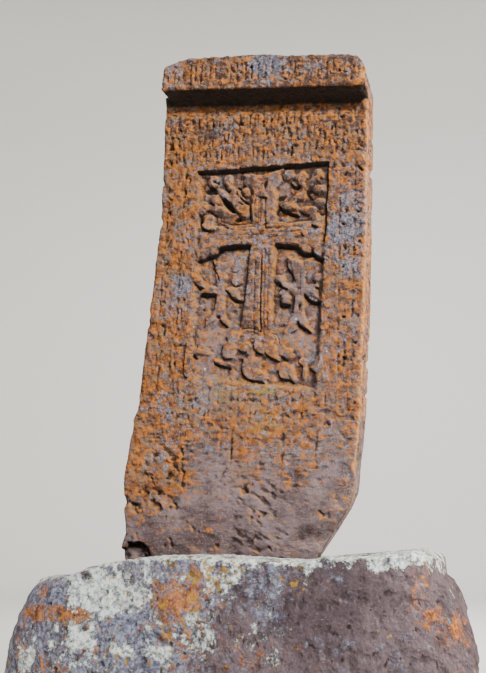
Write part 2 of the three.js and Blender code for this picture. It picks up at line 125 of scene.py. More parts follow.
# Crisp broken edges of the relief, read from left to right or downwards: how wide the painted shadow
# at the foot of the edge is, how high the edge is, and its line. The stone stands up on the line's
# left.
relief_steps = [
    [10, 6, [(-66, 1284), (-50, 1263), (-26, 1254)]],
    [8, 5, [(-183, 1267), (-170, 1257), (-154, 1248)]],
    [8, 6, [(-23, 1254), (-23, 1220), (-18, 1186)]],
    [6, 4, [(-71, 1373), (-63, 1346)]],
    [8, 4, [(-81, 1322), (-59, 1314)]],
    [6, 4, [(-80, 1311), (-70, 1276)]],
    [10, 7, [(-219, 1224), (-207, 1204), (-208, 1168), (-186, 1153), (-167, 1148), (-155, 1165)]],
    [6, 4, [(-128, 1174), (-111, 1164), (-94, 1157)]],
    [8, 5, [(4, 1275), (24, 1269), (47, 1268)]],
    [12, 6, [(123, 1331), (132, 1310), (149, 1303), (164, 1311)]],
    [12, 8, [(83, 1246), (94, 1222), (118, 1210), (147, 1198), (167, 1191)]],
    [8, 4, [(78, 1226), (78, 1201)]],
    [9, 5, [(187, 1289), (194, 1265), (214, 1250)]],
    [9, 6, [(206, 1156), (220, 1144), (240, 1140)]],
    [8, 5, [(171, 1129), (180, 1112), (190, 1103)]],
    [7, 4, [(230, 1198), (248, 1195)]],
    [11, 8, [(-220, 1033), (-196, 1039), (-176, 1051), (-160, 1051), (-141, 1060), (-131, 1079),
        (-101, 1086), (-60, 1088), (-12, 1088)]],
    [8, 4, [(-162, 1045), (-148, 1022), (-144, 998), (-131, 984), (-123, 952)]],
    [9, 6, [(-219, 955), (-200, 934), (-170, 929)]],
    [13, 8, [(-194, 899), (-183, 910), (-159, 907), (-129, 909)]],
    [7, 5, [(-131, 906), (-134, 873), (-140, 841)]],
    [9, 7, [(-107, 926), (-86, 916), (-74, 891), (-59, 884), (-30, 881)]],
    [6, 6, [(-16, 1086), (-18, 1016), (-23, 937), (-28, 870), (-39, 783)]],
    [6, 4, [(-168, 828), (-167, 786)]],
    [8, 5, [(-117, 820), (-104, 800), (-80, 784)]],
    [6, 3, [(-87, 964), (-71, 936), (-51, 940)]],
    [14, 8, [(70, 1086), (116, 1081), (165, 1074), (172, 1055), (188, 1045), (205, 1047),
        (218, 1052), (229, 1035), (243, 1025), (264, 1020)]],
    [8, 6, [(121, 1037), (126, 992), (142, 983), (158, 942)]],
    [9, 6, [(85, 942), (100, 945), (113, 924), (136, 919)]],
    [6, 4, [(110, 901), (108, 881)]],
    [11, 8, [(98, 865), (119, 862), (145, 865)]],
    [8, 5, [(159, 899), (156, 864), (150, 825)]],
    [9, 5, [(224, 922), (244, 922)]],
    [12, 8, [(189, 903), (207, 882), (222, 869), (259, 867)]],
    [6, 3, [(184, 1029), (187, 1002)]],
    [10, 7, [(171, 807), (181, 783), (205, 772), (223, 758)]],
    [7, 4, [(121, 798), (126, 782)]],
    [7, 6, [(-231, 732), (-235, 655), (-233, 605), (-214, 602)]],
    [4, 3, [(-83, 764), (-87, 747), (-76, 726)]],
    [5, 4, [(-93, 721), (-100, 695), (-93, 666), (-74, 667), (-51, 675)]],
    [7, 5, [(-41, 708), (-24, 690), (-2, 697)]],
    [8, 6, [(22, 739), (15, 715), (28, 691), (54, 685)]],
    [5, 3, [(3, 746), (22, 739)]],
    [9, 7, [(57, 694), (76, 673), (117, 658)]],
    [8, 6, [(116, 683), (148, 658)]],
    [7, 6, [(189, 679), (178, 652), (200, 644)]],
    [5, 4, [(197, 644), (193, 594)]],
    [6, 5, [(217, 641), (231, 624), (249, 617)]],
    [4, 2, [(244, 616), (242, 581)]],
    [9, 7, [(-130, 655), (-94, 644), (-54, 635)]],
    [8, 7, [(-20, 677), (-23, 637), (-14, 610), (8, 593), (46, 589), (72, 582)]],
    [8, 7, [(108, 634), (116, 603), (134, 595), (154, 596), (171, 580)]],
    [8, 5, [(-204, 686), (-181, 666)]],
    [4, 3, [(-190, 728), (-187, 698)]],
    [4, 3, [(118, 754), (147, 764), (173, 775)]],
]
# Pockets cut between the forms: middle, half width, half height, turn in degrees, depth
hollows = [
    [-182, 1313, 20, 9, -5, 12], [-167, 1345, 9, 3, -10, 7], [-106, 1305, 10, 4, -10, 8],
    [-110, 1249, 34, 8, -48, 14], [-72, 1192, 13, 5, -12, 11], [-206, 1197, 5, 23, 0, 8],
    [-67, 1386, 6, 13, 0, 6], [32, 1318, 4, 18, -8, 9], [192, 1282, 7, 7, 0, 9],
    [213, 1342, 7, 4, 0, 6], [237, 1328, 8, 7, 0, 6], [96, 1270, 19, 8, 30, 6],
    [169, 1149, 7, 5, 0, 6], [80, 1213, 5, 13, 0, 6], [-72, 993, 7, 5, 0, 6],
    [-178, 853, 6, 6, 0, 7], [-119, 825, 8, 6, 0, 7], [-68, 844, 8, 6, 0, 5],
    [-58, 940, 11, 6, 10, 5], [175, 853, 3, 13, -5, 6], [216, 1052, 6, 7, 0, 6],
    [160, 691, 9, 7, 0, 5], [-196, 677, 9, 7, -35, 6],
]
# Thin grooves that run along the arms and the stem: depth, line
thin_grooves = [
    [3.2, [(-138, 1193), (-103, 1178), (-72, 1172), (7, 1168)]],
    [3.2, [(-133, 1178), (-96, 1163), (-61, 1159), (7, 1157)]],
    [2.6, [(-123, 1163), (-87, 1151), (-50, 1147), (8, 1146)]],
    [2.4, [(-134, 1134), (-79, 1127), (-28, 1128), (9, 1128)]],
    [2.2, [(-150, 1116), (-79, 1113), (3, 1116)]],
    [2.6, [(-6, 1263), (-2, 1174)]],
    [2.6, [(16, 1261), (20, 1173)]],
    [3.2, [(38, 1167), (96, 1164), (144, 1169)]],
    [3.4, [(39, 1150), (105, 1146), (161, 1151)]],
    [2.6, [(41, 1134), (106, 1132), (167, 1131)]],
    [2.4, [(42, 1116), (107, 1116), (163, 1107)]],
    [3.2, [(33, 1260), (38, 1150)]],
    [2.4, [(9, 1260), (11, 1165)]],
    [2.4, [(54, 1257), (58, 1173)]],
    [3.4, [(31, 1036), (33, 901), (37, 769)]],
    [2.6, [(8, 1038), (12, 902), (12, 769)]],
    [3.4, [(30, 1071), (34, 923), (37, 769)]],
    [2.6, [(42, 1070), (46, 923), (48, 790)]],
    [2.6, [(56, 1069), (60, 923), (61, 790)]],
    [2.4, [(173, 985), (177, 896)]],
    [3.0, [(149, 926), (179, 923), (210, 925)]],
    [2.4, [(42, 783), (55, 745)]],
    [3, [(-13, 770), (12, 768), (32, 752)]],
    [2.4, [(-31, 781), (11, 782), (36, 769)]],
    [3, [(80, 762), (101, 754), (109, 725)]],
    [3, [(-76, 582), (-54, 572), (-19, 572)]],
]
# Rows of strokes in the place of the inscription: start, end, height, places, level they cut
sign_rows = [
    [(-362, 1748), (386, 1690), 78, 27, cornice_reach],
    [(-370, 1578), (392, 1568), 52, 27, 0],
    [(-370, 1512), (392, 1504), 54, 26, 0],
    [(-370, 1444), (392, 1438), 52, 25, 0],
    [(-385, 540), (372, 520), 54, 22, 0],
    [(-375, 474), (352, 458), 52, 16, 0],
    [(-345, 1390), (-345, 640), 28, 24, 0],
    [(-284, 1390), (-272, 620), 28, 22, 0],
    [(306, 1390), (318, 620), 28, 22, 0],
    [(362, 1390), (362, 660), 26, 20, 0],
]
long_strokes = [
    (-80, 420, -82, 330), (-40, 425, -42, 300), (140, 410, 138, 320), (255, 420, 250, 340),
    (-330, 640, -334, 560), (-292, 700, -290, 610), (338, 720, 336, 640),
]
foot_notch = [[-470, -80], [-296, -80], [-318, 14], [-352, 34], [-400, 24], [-424, 2], [-470, -4]]
foot_notch_depth = 32
# Single pits in the face: middle, radius, depth
pits = [
    [-355, 1510, 16, 12], [-348, 1487, 20, 10], [-352, 200, 18, 10], [-330, 250, 16, 8],
    [-300, 205, 20, 8], [276, 1362, 12, 6], [112, 30, 10, 9], [-375, 140, 20, 9],
    [-230, 165, 16, 7], [300, 1190, 10, 4], [-262, 262, 22, 7], [-248, 318, 16, 6],
    [-315, 330, 14, 6], [-350, 292, 12, 7],
]
# Cracks in the lower left part: depth, line
cracks = [
    [8, [(-224, 348), (-213, 320), (-221, 292), (-207, 262), (-215, 226), (-202, 204)]],
    [6, [(-262, 300), (-238, 286), (-228, 262), (-240, 240)]],
    [6, [(-352, 262), (-330, 244), (-300, 240)]],
    [6, [(-318, 214), (-290, 196), (-262, 190), (-240, 176)]],
    [5, [(-372, 196), (-350, 172), (-338, 140)]],
    [4, [(-300, 362), (-280, 350), (-262, 330)]],
]

# Random values on a lattice, drawn once, make every uneven surface below.
dice = np.random.default_rng(97)
lattice = dice.uniform(-1, 1, (32, 32, 32))
# Turns the lattice between octaves, so that its rows don't line up
spin = np.array([[0.36, 0.48, -0.8], [-0.8, 0.6, 0.0], [0.48, 0.64, 0.6]])


def waves(points, cell):
    """Smooth random waves between -1 and 1, about cell mm from crest to hollow"""
    scaled = points / cell
    corner = np.floor(scaled).astype(np.int64)
    part = scaled - corner
    part = part * part * (3 - 2 * part)
    total = np.zeros(points.shape[:-1])
    for step in np.ndindex(2, 2, 2):
        weight = np.ones(points.shape[:-1])
        for axis in range(3):
            share = part[..., axis]
            weight = weight * (share if step[axis] else 1 - share)
        at = [(corner[..., axis] + step[axis]) & 31 for axis in range(3)]
        total += weight * lattice[at[0], at[1], at[2]]
    return total


def rough(points, cell, octaves=4, gain=0.5):
    """Waves on waves, each half the size of the last, between about -1 and 1"""
    total = np.zeros(points.shape[:-1])
    reach = 1.0
    for octave in range(octaves):
        points = points @ spin + 17.3
        total += reach * waves(points, cell)
        cell = cell / 2.03
        reach = reach * gain
    return total


def smooth(low, high, value):
    """0 below low, 1 above high, smooth between; the other way round where low is above high"""
    part = np.clip((value - low) / (high - low), 0, 1)
    return part * part * (3 - 2 * part)


def hewn(x, y, z):
    """The broad unevenness of the split stone, between -1 and 1"""
    broad = np.sin(x / 71 + z / 53 + 1.3) * np.cos(z / 97 - y / 61)
    fine = np.sin(x / 29 - z / 37 + y / 41) * np.cos(x / 43 + z / 31 + 2.1)
    return 0.6 * broad + 0.4 * fine


def knots(pairs, at):
    """Straight lines between pairs of a place and a value"""
    table = np.array(pairs, float)
    return np.interp(at, table[:, 0], table[:, 1])


def outline_gap(u, v, corners):
    """Distance to a closed outline, negative inside it"""
    nearest = np.full(u.shape, 1e9)
    inside = np.zeros(u.shape, bool)
    for (u0, v0), (u1, v1) in zip(corners, corners[1:] + corners[:1]):
        du, dv = u1 - u0, v1 - v0
        share = np.clip(((u - u0) * du + (v - v0) * dv) / (du * du + dv * dv), 0, 1)
        nearest = np.minimum(nearest, np.hypot(u - u0 - share * du, v - v0 - share * dv))
        if dv != 0:
            inside ^= ((v0 > v) != (v1 > v)) & (u < du * (v - v0) / dv + u0)
    return np.where(inside, -nearest, nearest)


def lobe_gap(u, v, lobe):
    """Distance to an oval, negative inside it"""
    middle_u, middle_v, half_width, half_height = lobe[:4]
    turn = math.radians(lobe[4]) if len(lobe) > 4 else 0
    du, dv = u - middle_u, v - middle_v
    across = du * math.cos(turn) + dv * math.sin(turn)
    up = dv * math.cos(turn) - du * math.sin(turn)
    return (np.hypot(across / half_width, up / half_height) - 1) * math.sqrt(half_width * half_height)


def stalk_gap(u, v, stalk):
    """Distance to a tapered bar with round ends, negative inside it"""
    u0, v0, u1, v1, half0, half1 = stalk
    du, dv = u1 - u0, v1 - v0
    share = np.clip(((u - u0) * du + (v - v0) * dv) / (du * du + dv * dv), 0, 1)
    return np.hypot(u - u0 - share * du, v - v0 - share * dv) - (half0 + (half1 - half0) * share)


def arm_outline(arm):
    """The outline of a cross's arm, which widens towards a forked end"""
    start, end, neck, tip, straight, notch = arm
    run = np.array(end, float) - start
    length = np.hypot(*run)
    run = run / length
    side = np.array([-run[1], run[0]])
    flank = [
        (length * (straight + (1 - straight) * part), neck + (tip - neck) * part ** 2)
        for part in np.linspace(0, 1, 8)
    ]
    points = [(0, neck)] + flank + [(length - notch, 0)]
    points += [(ahead, -off) for ahead, off in reversed(flank)] + [(0, -neck)]
    return [tuple(start + run * ahead + side * off) for ahead, off in points]


def raised(gap, rise, edge):
    """A worn raised form: a rounded edge, then a gentle crown"""
    inner = np.clip(-gap / edge, 0, 1)
    dome = np.clip(-gap / (2.5 * edge), 0, 1)
    return rise * (0.75 * np.sqrt(inner * (2 - inner)) + 0.25 * dome * (2 - dome))


def softened(line):
    """Rounds off the corners of a line"""
    points = np.array(line, float)
    for _ in range(2):
        near, far = points[:-1], points[1:]
        cut = np.stack([0.75 * near + 0.25 * far, 0.25 * near + 0.75 * far], axis=1)
        points = np.concatenate([points[:1], cut.reshape(-1, 2), points[-1:]])
    return points


def line_gap(u, v, line):
    """Distance to a line, the side of it (1 on its left), and the way to its nearer end"""
    nearest = np.full(u.shape, 1e9)
    side = np.ones(u.shape)
    place = np.zeros(u.shape)
    walked = 0
    for (u0, v0), (u1, v1) in zip(line[:-1], line[1:]):
        du, dv = u1 - u0, v1 - v0
        length = math.hypot(du, dv)
        share = np.clip(((u - u0) * du + (v - v0) * dv) / length ** 2, 0, 1)
        gap = np.hypot(u - u0 - share * du, v - v0 - share * dv)
        closer = gap < nearest
        nearest = np.where(closer, gap, nearest)
        side = np.where(closer, np.sign(du * (v - v0) - dv * (u - u0)), side)
        place = np.where(closer, walked + share * length, place)
        walked += length
    return nearest, side, np.minimum(place, walked - place), walked


def near_line(u, v, line, reach):
    """Which points lie in the box around a line, with reach mm to spare"""
    points = np.array(line, float).reshape(-1, 2)
    low_u, low_v = points.min(axis=0) - reach
    high_u, high_v = points.max(axis=0) + reach
    return (u > low_u) & (u < high_u) & (v > low_v) & (v < high_v)


def sign_marks():
    """Weathered marks in rows, none of them a letter: upright strokes, ticks and bits of arc"""
    marks = [(*stroke, 0, 1.0) for stroke in long_strokes]
    for start, end, tall, places, level in sign_rows:
        run = np.array(end, float) - start
        left_over = 0.6 if start[1] < 600 else 1.0        # the rows under the panel are fainter
        for place in range(places):
            part = (place + dice.uniform(0.2, 0.8)) / places
            u, v = start[0] + run[0] * part, start[1] + run[1] * part
            half = tall / 2 * dice.uniform(0.8, 1.1)
            if dice.uniform() < 0.8:
                lean = dice.uniform(-2, 2)
                low_end = v - half * dice.uniform(0.4, 1)
                marks.append((u + lean, v + half, u - lean, low_end, level, left_over))
            middle_u = u + dice.uniform(12, 18)
            middle_v = v + dice.uniform(-0.8, 0.8) * half
            size = dice.uniform(8, 14)
            if dice.uniform() < 0.6:
                turn = dice.choice([0.6, 1.1, math.pi / 2]) + dice.uniform(-0.2, 0.2)
                du, dv = size * 0.45 * math.cos(turn), size * 0.8 * math.sin(turn)
                tick = (middle_u - du, middle_v - dv, middle_u + du, middle_v + dv)
                marks.append((*tick, level, 0.75 * left_over))
            else:
                turns = dice.uniform(0, 2 * math.pi) + np.linspace(0, dice.uniform(1.1, 2.0), 5)
                arc = [(middle_u + 0.75 * size * math.cos(turn), middle_v + size * math.sin(turn))
                       for turn in turns]
                marks += [(*a, *b, level, 0.7 * left_over) for a, b in zip(arc, arc[1:])]
    return marks


def cut_marks(w, relief_shade, u, v, level, dark):
    """Cuts the marks of one level as shallow rounded grooves, with painted shade in them"""
    points = np.stack([u, np.zeros(u.shape) + level, v], axis=-1)
    for u0, v0, u1, v1, cut_level, strength in marks:
        if cut_level != level:
            continue
        near = near_line(u, v, (u0, v0, u1, v1), 6)
        gap = stalk_gap(u[near], v[near], (u0, v0, u1, v1, 0, 0))
        worn = 0.75 + 0.5 * waves(points[near], 25)
        w[near] -= 5.5 * strength * worn * smooth(7.5, 0, gap)
        relief_shade[near] = np.maximum(relief_shade[near], dark * strength * worn * smooth(5, 1.2, gap))


marks = sign_marks()


def panel_relief(u, v, points):
    """The sunken panel with everything that stands in it, and the painted shade in its corners and
    along its edges
    """
    wander = 2.2 * rough(points, 26, 2)
    room = outline_gap(u, v, panel_corners) + wander
    # The top and right walls are still steep, the left and bottom ones are worn to slopes.
    left_part = smooth(-60, -200, u) * smooth(1386, 1362, v)
    worn_side = np.clip(left_part + smooth(760, 620, v), 0, 1)
    worn_side = np.maximum(worn_side, 0.6 * smooth(1130, 1060, v) * smooth(120, 200, u))
    wall = smooth(1, -6 - 20 * worn_side, room)
    floor = panel_depth - 7 * smooth(-40, -200, u) * smooth(1200, 1050, v) - 9 * smooth(800, 700, v)
    floor = floor + 1.6 * rough(points + 400, 60, 3)
    main, small = (
        np.max([raised(outline_gap(u, v, arm_outline(arm)) + wander, rise, 13) for arm in arms], axis=0)
        for arms, rise in ((main_arms, 17), (small_cross_arms, 10)))
    ragged = 6 * rough(points + 150, 30, 3)
    leaves = np.zeros(u.shape)
    figures = np.zeros(u.shape)
    for gap_to, leaf_forms, leaf_edge, figure_forms, figure_edge in [
            (lobe_gap, leaf_lobes, 14, figure_lobes, 12),
            (stalk_gap, leaf_stalks, 10, figure_stalks, 9)]:
        for form in leaf_forms:
            leaves += raised(gap_to(u, v, form) + ragged, 16, leaf_edge) ** 6
        for form in figure_forms:
            figures = np.maximum(figures, raised(gap_to(u, v, form) + ragged, 6, figure_edge))
    # The sixth power melts leaves that touch into one another.
    leaves = leaves ** (1 / 6)
    standing = np.max([main * smooth(768, 835, v), small, leaves, figures], axis=0)
    w = -(floor - np.minimum(standing, floor)) * wall
    # Painted shade on the steep walls; it is darkest under the upper one.
    wall_shade = smooth(-8, -5, room) * smooth(2, -1, room)
    broken = 0.6 * smooth(0.1, 0.5, waves(points + 40, 45)) * smooth(-40, -120, u)
    upper_left = smooth(-90, -190, u) + broken
    relief_shade = wall_shade * (1 - worn_side) * (0.55 + 0.45 * smooth(1350, 1375, v))
    relief_shade = relief_shade * np.clip(1 - 0.6 * upper_left, 0.2, 1)
    reach = 80        # mm beyond which an edge is no longer felt
    for shadow_width, high, line in relief_steps:
        line = softened(line)
        near = near_line(u, v, line, reach)
        gap, side, to_end, length = line_gap(u[near], v[near], line)
        gap_in = gap + 1.2 * waves(points[near], 14)
        fade = smooth(0, min(16, length / 2.5), to_end)
        lasting = np.where(side > 0, np.exp(-gap / 30), np.exp(-gap / 22))
        w[near] += side * 1.25 * high * fade * lasting * np.tanh(gap / 1.6)
        # Painted shadow on the low side of each edge, and a thin line of it along the edge itself
        foot = np.where(side > 0, smooth(2.0, 0.5, gap), smooth(shadow_width * 0.9, shadow_width * 0.9 - 5, gap_in))
        patchy = 0.85 + 0.3 * waves(points[near] + 70, 22)
        relief_shade[near] = np.maximum(relief_shade[near], patchy * foot * smooth(0, 9, to_end))
    # Pockets between the forms, with painted shade in them
    for middle_u, middle_v, half_width, half_height, turn, deep in hollows:
        gap = lobe_gap(u, v, (middle_u, middle_v, half_width + 4, half_height + 4, turn))
        gap = gap + 2.5 * waves(points, 12) + wander
        w -= 0.8 * deep * smooth(4, -9, gap)
        relief_shade = np.maximum(relief_shade, min(1, deep / 9) * smooth(2, -8, gap))
    # Thin grooves, with painted shade along them
    for deep, line in thin_grooves:
        line = softened(line)
        cut, groove_shade = np.zeros(u.shape), np.zeros(u.shape)
        for begin, finish in zip(line[:-1], line[1:]):
            near = near_line(u, v, (begin, finish), 5)
            gap = stalk_gap(u[near], v[near], (*begin, *finish, 0, 0))
            cut[near] = np.maximum(cut[near], 1.15 * deep * smooth(5, 0, gap))
            groove_shade[near] = np.maximum(groove_shade[near], 0.5 * smooth(4, 1, gap))
        w -= cut
        relief_shade = np.maximum(relief_shade, groove_shade)
    return w, relief_shade


def face_relief(u, v):
    """The whole dressed face from foot to cornice, and the painted shade on it"""
    points = np.stack([u, np.zeros(u.shape), v], axis=-1)
    bare = smooth(330, 150, v)
    w, relief_shade = panel_relief(u, v, points)
    w -= 9 * bare * (1 + hewn(u, 0, v))
    # The cove under the cornice
    drop = (v - knots(cornice_under, u) + cove_drop) / cove_half_height
    w -= cove_depth * (np.sqrt(np.clip(1 - drop ** 2, 0, 1)) * smooth(392, 372, u))
    cut_marks(w, relief_shade, u, v, 0, 0.38)
    # Pits, with painted shade in their middles
    for middle_u, middle_v, radius, depth in pits:
        gap = np.hypot(u - middle_u, (v - middle_v) * 0.8) + 0.9 * radius * waves(points, 13)
        w -= 0.8 * depth * smooth(radius, 0, gap)
        relief_shade = np.maximum(relief_shade, 0.55 * smooth(radius * 0.5, 0, gap))
    # Cracks, with painted shade along them
    for depth, line in cracks:
        line = softened(line)
        near = near_line(u, v, line, 14)
        gap = line_gap(u[near], v[near], line)[0] + 5 * waves(points[near], 9)
        w[near] -= 0.7 * depth * smooth(8, 0, gap)
        relief_shade[near] = np.maximum(relief_shade[near], 0.4 * smooth(4, 0, gap))
    # Long chisel grooves slope down to the right across the undressed foot.
    slope = math.radians(-28)
    across = u * math.cos(slope) + v * math.sin(slope)
    up = v * math.cos(slope) - u * math.sin(slope)
    chisel_grain = np.stack([across / 2.8, np.zeros(u.shape) + 90, up], axis=-1)
    chiselled = smooth(275, 200, v) * smooth(-60, 10, u) * smooth(215, 130, u)
    w -= 7 * chiselled * np.clip(rough(chisel_grain, 13, 2) + 0.1, 0, 1)
    # Tool ripple, nearly level, in the plain band under the inscription
    ripple_grain = np.stack([u / 5, np.zeros(u.shape) + 31, v], axis=-1)
    rippled = 3.8 * smooth(600, 540, v) * (0.45 + 0.55 * smooth(150, 260, v))
    w -= rippled * np.abs(rough(ripple_grain, 12, 2))
    # The broken lower right corner falls away in two flat facets.
    from_break = (376 - u) * 0.796 - (234 - v) * 0.605
    w = np.minimum(w, -6 - 0.55 * (74 - from_break) + 6 * waves(points, 42))
    from_flake = (u - 90) * 0.55 + (120 - v) * 0.45
    flake = smooth(150, 60, v) * smooth(90, 130, u)
    w -= flake * np.clip(from_flake, 0, 90) * 0.16
    notch = outline_gap(u, v, foot_notch) + 5 * rough(points, 30, 2)
    cut_away = smooth(2, -7 - 14 * smooth(-345, -310, u), notch)
    w -= foot_notch_depth * cut_away * (0.85 + 0.3 * waves(points, 24))
    # Painted shade in the notch, darkest near its upper edge
    relief_shade = np.maximum(relief_shade, cut_away * (0.3 + 0.4 * smooth(-20, 20, v)))
    # Weathering: lumps and hollows, a worm-eaten fine grain, a few spalls towards the foot
    w += (1.6 + 3.4 * bare) * rough(points, 62, 3)
    worms = 1.9 * rough(points + 900, 13, 2) - 1.8 * np.abs(rough(points + 450, 24, 2))
    w += (1 - 0.3 * bare) * worms
    spall = np.clip(rough(points + 1300, 40, 3) - 0.55, 0, 1)
    w -= 22 * spall * (0.25 + bare)
    return w, relief_shade


def cornice_relief(u, v, level):
    """The skin of the cornice, with a row of marks on its front"""
    points = np.stack([u, np.full(u.shape, 60.0), v], axis=-1)
    w, relief_shade = np.zeros(u.shape), np.zeros(u.shape)
    if level:
        cut_marks(w, relief_shade, u, v, level, 0.42)
    w -= 2 + 2.4 * np.abs(rough(points, 60, 2)) + 1.9 * rough(points + 700, 13, 2)
    w -= 1.8 * np.abs(rough(points + 350, 26, 2))
    return w, relief_shade


# Rings around the slab. Each ring runs along the front, over the right side, along the back and
# over the left side. Ring by ring they climb the face, go out under the cornice, up its front and
# in over the top from both sides, until front and back meet.
def path(rows, foot, under, top, lift, out, normal_up, normal_out):
    """Rows of a path: shares of the foot's, cornice's and top's level, offsets, and its normal"""
    return np.stack([np.broadcast_to(np.asarray(column, float), rows) for column in (
        foot, under, top, lift, out, normal_up, normal_out)], axis=-1)


face_rows, shelf_rows, bend_rows, front_rows, shoulder_rows, over_rows = 470, 22, 4, 34, 5, 34
climb = np.linspace(0, 1, face_rows)
lip_reach, shoulder_reach = cornice_reach - lip_radius, cornice_reach - shoulder_radius
shelf = np.linspace(1, lip_reach, shelf_rows)
bend = np.radians(np.linspace(-75, -15, bend_rows))
rise = np.linspace(0, 1, front_rows)
shoulder = np.radians(np.linspace(15, 75, shoulder_rows))
over = np.linspace(76, -48, over_rows)
front_path = np.concatenate([
    path(face_rows, 1 - climb, climb, 0, 0, 0, 0, 1),
    path(shelf_rows, 0, 1, 0, 0, shelf, -1, 0),
    path(bend_rows, 0, 1, 0, lip_radius + lip_radius * np.sin(bend),
         lip_reach + lip_radius * np.cos(bend), np.sin(bend), np.cos(bend)),
    path(front_rows, 0, 1 - rise, rise, lip_radius - (lip_radius + shoulder_radius) * rise,
         cornice_reach, 0, 1),
    path(shoulder_rows, 0, 0, 1, -shoulder_radius + shoulder_radius * np.sin(shoulder),
         shoulder_reach + shoulder_radius * np.cos(shoulder), np.sin(shoulder), np.cos(shoulder)),
    path(over_rows, 0, 0, 1, 6 * smooth(76, 0, over), over, 1, 0),
])
cornice_rows = shelf_rows + bend_rows + front_rows + shoulder_rows
back_rise = np.linspace(0.01, 1, cornice_rows)
back_bend = np.radians(np.linspace(8, 82, 8))
back_over = np.linspace(-slab_thickness + 18, -60, 26)
back_path = np.concatenate([
    path(face_rows, 1 - climb, climb, 0, 0, 0, 0, -1),
    path(cornice_rows, 0, 1 - back_rise, back_rise, -16 * back_rise, 0, 0, -1),
    path(8, 0, 0, 1, -16 + 16 * np.sin(back_bend), 16 - 16 * np.cos(back_bend), 0.5, -0.9),
    path(26, 0, 0, 1, 6 * smooth(-slab_thickness, -60, back_over),
         back_over + slab_thickness, 1, 0),
])

corner_steps = np.array([0, 0.8, 2.4, 4.8, 8, 12, 16])
middle_share = np.linspace(0, 1, 226)[1:-1]
back_share = np.linspace(0, 1, 58)
side_share = np.linspace(0, 1, 26)[1:-1]


def spread(left, right):
    """Places across a row, close together at both edges"""
    near, far = left + corner_steps, right - corner_steps[::-1]
    inner_left, inner_right = near[:, -1:], far[:, :1]
    return np.concatenate([near, inner_left + (inner_right - inner_left) * middle_share, far], axis=1)


def path_height(rows, u):
    """How high the rows of a path lie at each place across"""
    foot = (seat_level - slab_level + u * math.sin(slab_lean)) / math.cos(slab_lean)
    under = knots(cornice_under, u)
    top = knots(cornice_top, u)
    return rows[:, :1] * foot + rows[:, 1:2] * under + rows[:, 2:3] * top + rows[:, 3:4]


def row_edges(rows, side_lines, cornice_edge):
    """Where a side of the slab is at every row, uneven and a little chipped"""
    heights = path_height(rows, np.full((len(rows), 1), cornice_edge, float))
    edge = knots(side_lines, heights)
    on_cornice = smooth(face_rows - 1, face_rows + 3, np.arange(len(rows)))[:, None]
    edge = edge + (cornice_edge - edge) * on_cornice
    points = np.concatenate([edge, np.zeros(edge.shape), heights], axis=1)[:, None, :]
    inward = -1 if cornice_edge > 0 else 1
    wander = 3.2 * rough(points, 70, 3) + 2.2 * np.abs(rough(points + 50, 22, 2))
    chips = 16 * np.clip(rough(points + 500, 34, 2) - 0.55, 0, 1)
    return edge + inward * (0.7 * np.abs(wander) + chips)


left = row_edges(front_path, left_edge, cornice_left)
right = row_edges(front_path, right_edge, cornice_right)
front_u = spread(left, right)
front_v = path_height(front_path, front_u)
rows_count, front_columns = front_u.shape

height, relief_shade = np.zeros(front_u.shape), np.zeros(front_u.shape)
shelf_end = face_rows + shelf_rows + bend_rows
front_end = shelf_end + front_rows
height[:face_rows], relief_shade[:face_rows] = face_relief(front_u[:face_rows], front_v[:face_rows])
for first, last, level in [(face_rows, shelf_end, 0), (shelf_end, front_end, cornice_reach),
                           (front_end, rows_count, 0)]:
    part = slice(first, last)
    along_path = front_v[part] + 0.7 * front_path[part, 4:5] * (level == 0)
    height[part], relief_shade[part] = cornice_relief(front_u[part], along_path, level)

# Worn corners: the face rounds off towards both sides.
edge_points = np.stack([np.sign(front_u) * 300, np.zeros(front_u.shape), front_v], axis=-1)
worn_radius = np.clip(14 + 7 * waves(edge_points, 45), 7, 24)
worn_radius[shelf_end - 4:] += 18 * (front_u[shelf_end - 4:] > 0)
from_edge = np.minimum(front_u - left, right - front_u)
short = np.clip(1 - from_edge / worn_radius, 0, 1)
height -= worn_radius * (1 - np.sqrt(1 - short ** 2))
front_w = front_path[:, 4:5] + front_path[:, 6:7] * height
front_v = front_v + front_path[:, 5:6] * height

back_u = (right - 4) + (left - right + 8) * back_share
back_v = path_height(back_path, back_u)
back_points = np.stack([back_u, np.full(back_u.shape, 190.0), back_v], axis=-1)
back_edge = np.minimum(back_u - left, right - back_u) - 4
back_short = np.clip(1 - back_edge / 22, 0, 1)
back_in = 7 * (1 + hewn(back_u, 190, back_v)) + 22 * (1 - np.sqrt(1 - back_short ** 2))
back_in += 3.5 * np.abs(rough(back_points, 120, 4)) + 3 * np.abs(rough(back_points, 28, 3))
back_w = -slab_thickness + back_path[:, 4:5] - back_path[:, 6:7] * back_in * (back_path[:, 6:7] < 0)
back_v = back_v - 0.4 * back_path[:, 5:6] * back_in


def side_wall(start, end, outward):
    """The split side between two edges, and how far it bulges"""
    share = side_share[None, :]
    u, v, w = (first + (last - first) * share for first, last in zip(start, end))
    points = np.stack([u, w, v], axis=-1)
    bulge = np.sqrt(share * (1 - share)) * 2
    room = smooth(0, 40, np.abs(end[2] - start[2]))
    push = 5 * hewn(u, w, v) - 2.4 + 2.6 * rough(points, 50, 3) - 4.2 * np.abs(rough(points, 20, 3))
    return u + outward * push * bulge * room, v, w, push


front, back = (front_u, front_v, front_w), (back_u, back_v, back_w)
right_wall = side_wall([part[:, -1:] for part in front], [part[:, :1] for part in back], 1)
left_wall = side_wall([part[:, -1:] for part in back], [part[:, :1] for part in front], -1)
ring_u, ring_v, ring_w = (
    np.concatenate(parts, axis=1) for parts in zip(front, right_wall, back, left_wall))
ring_count = ring_u.shape[1]


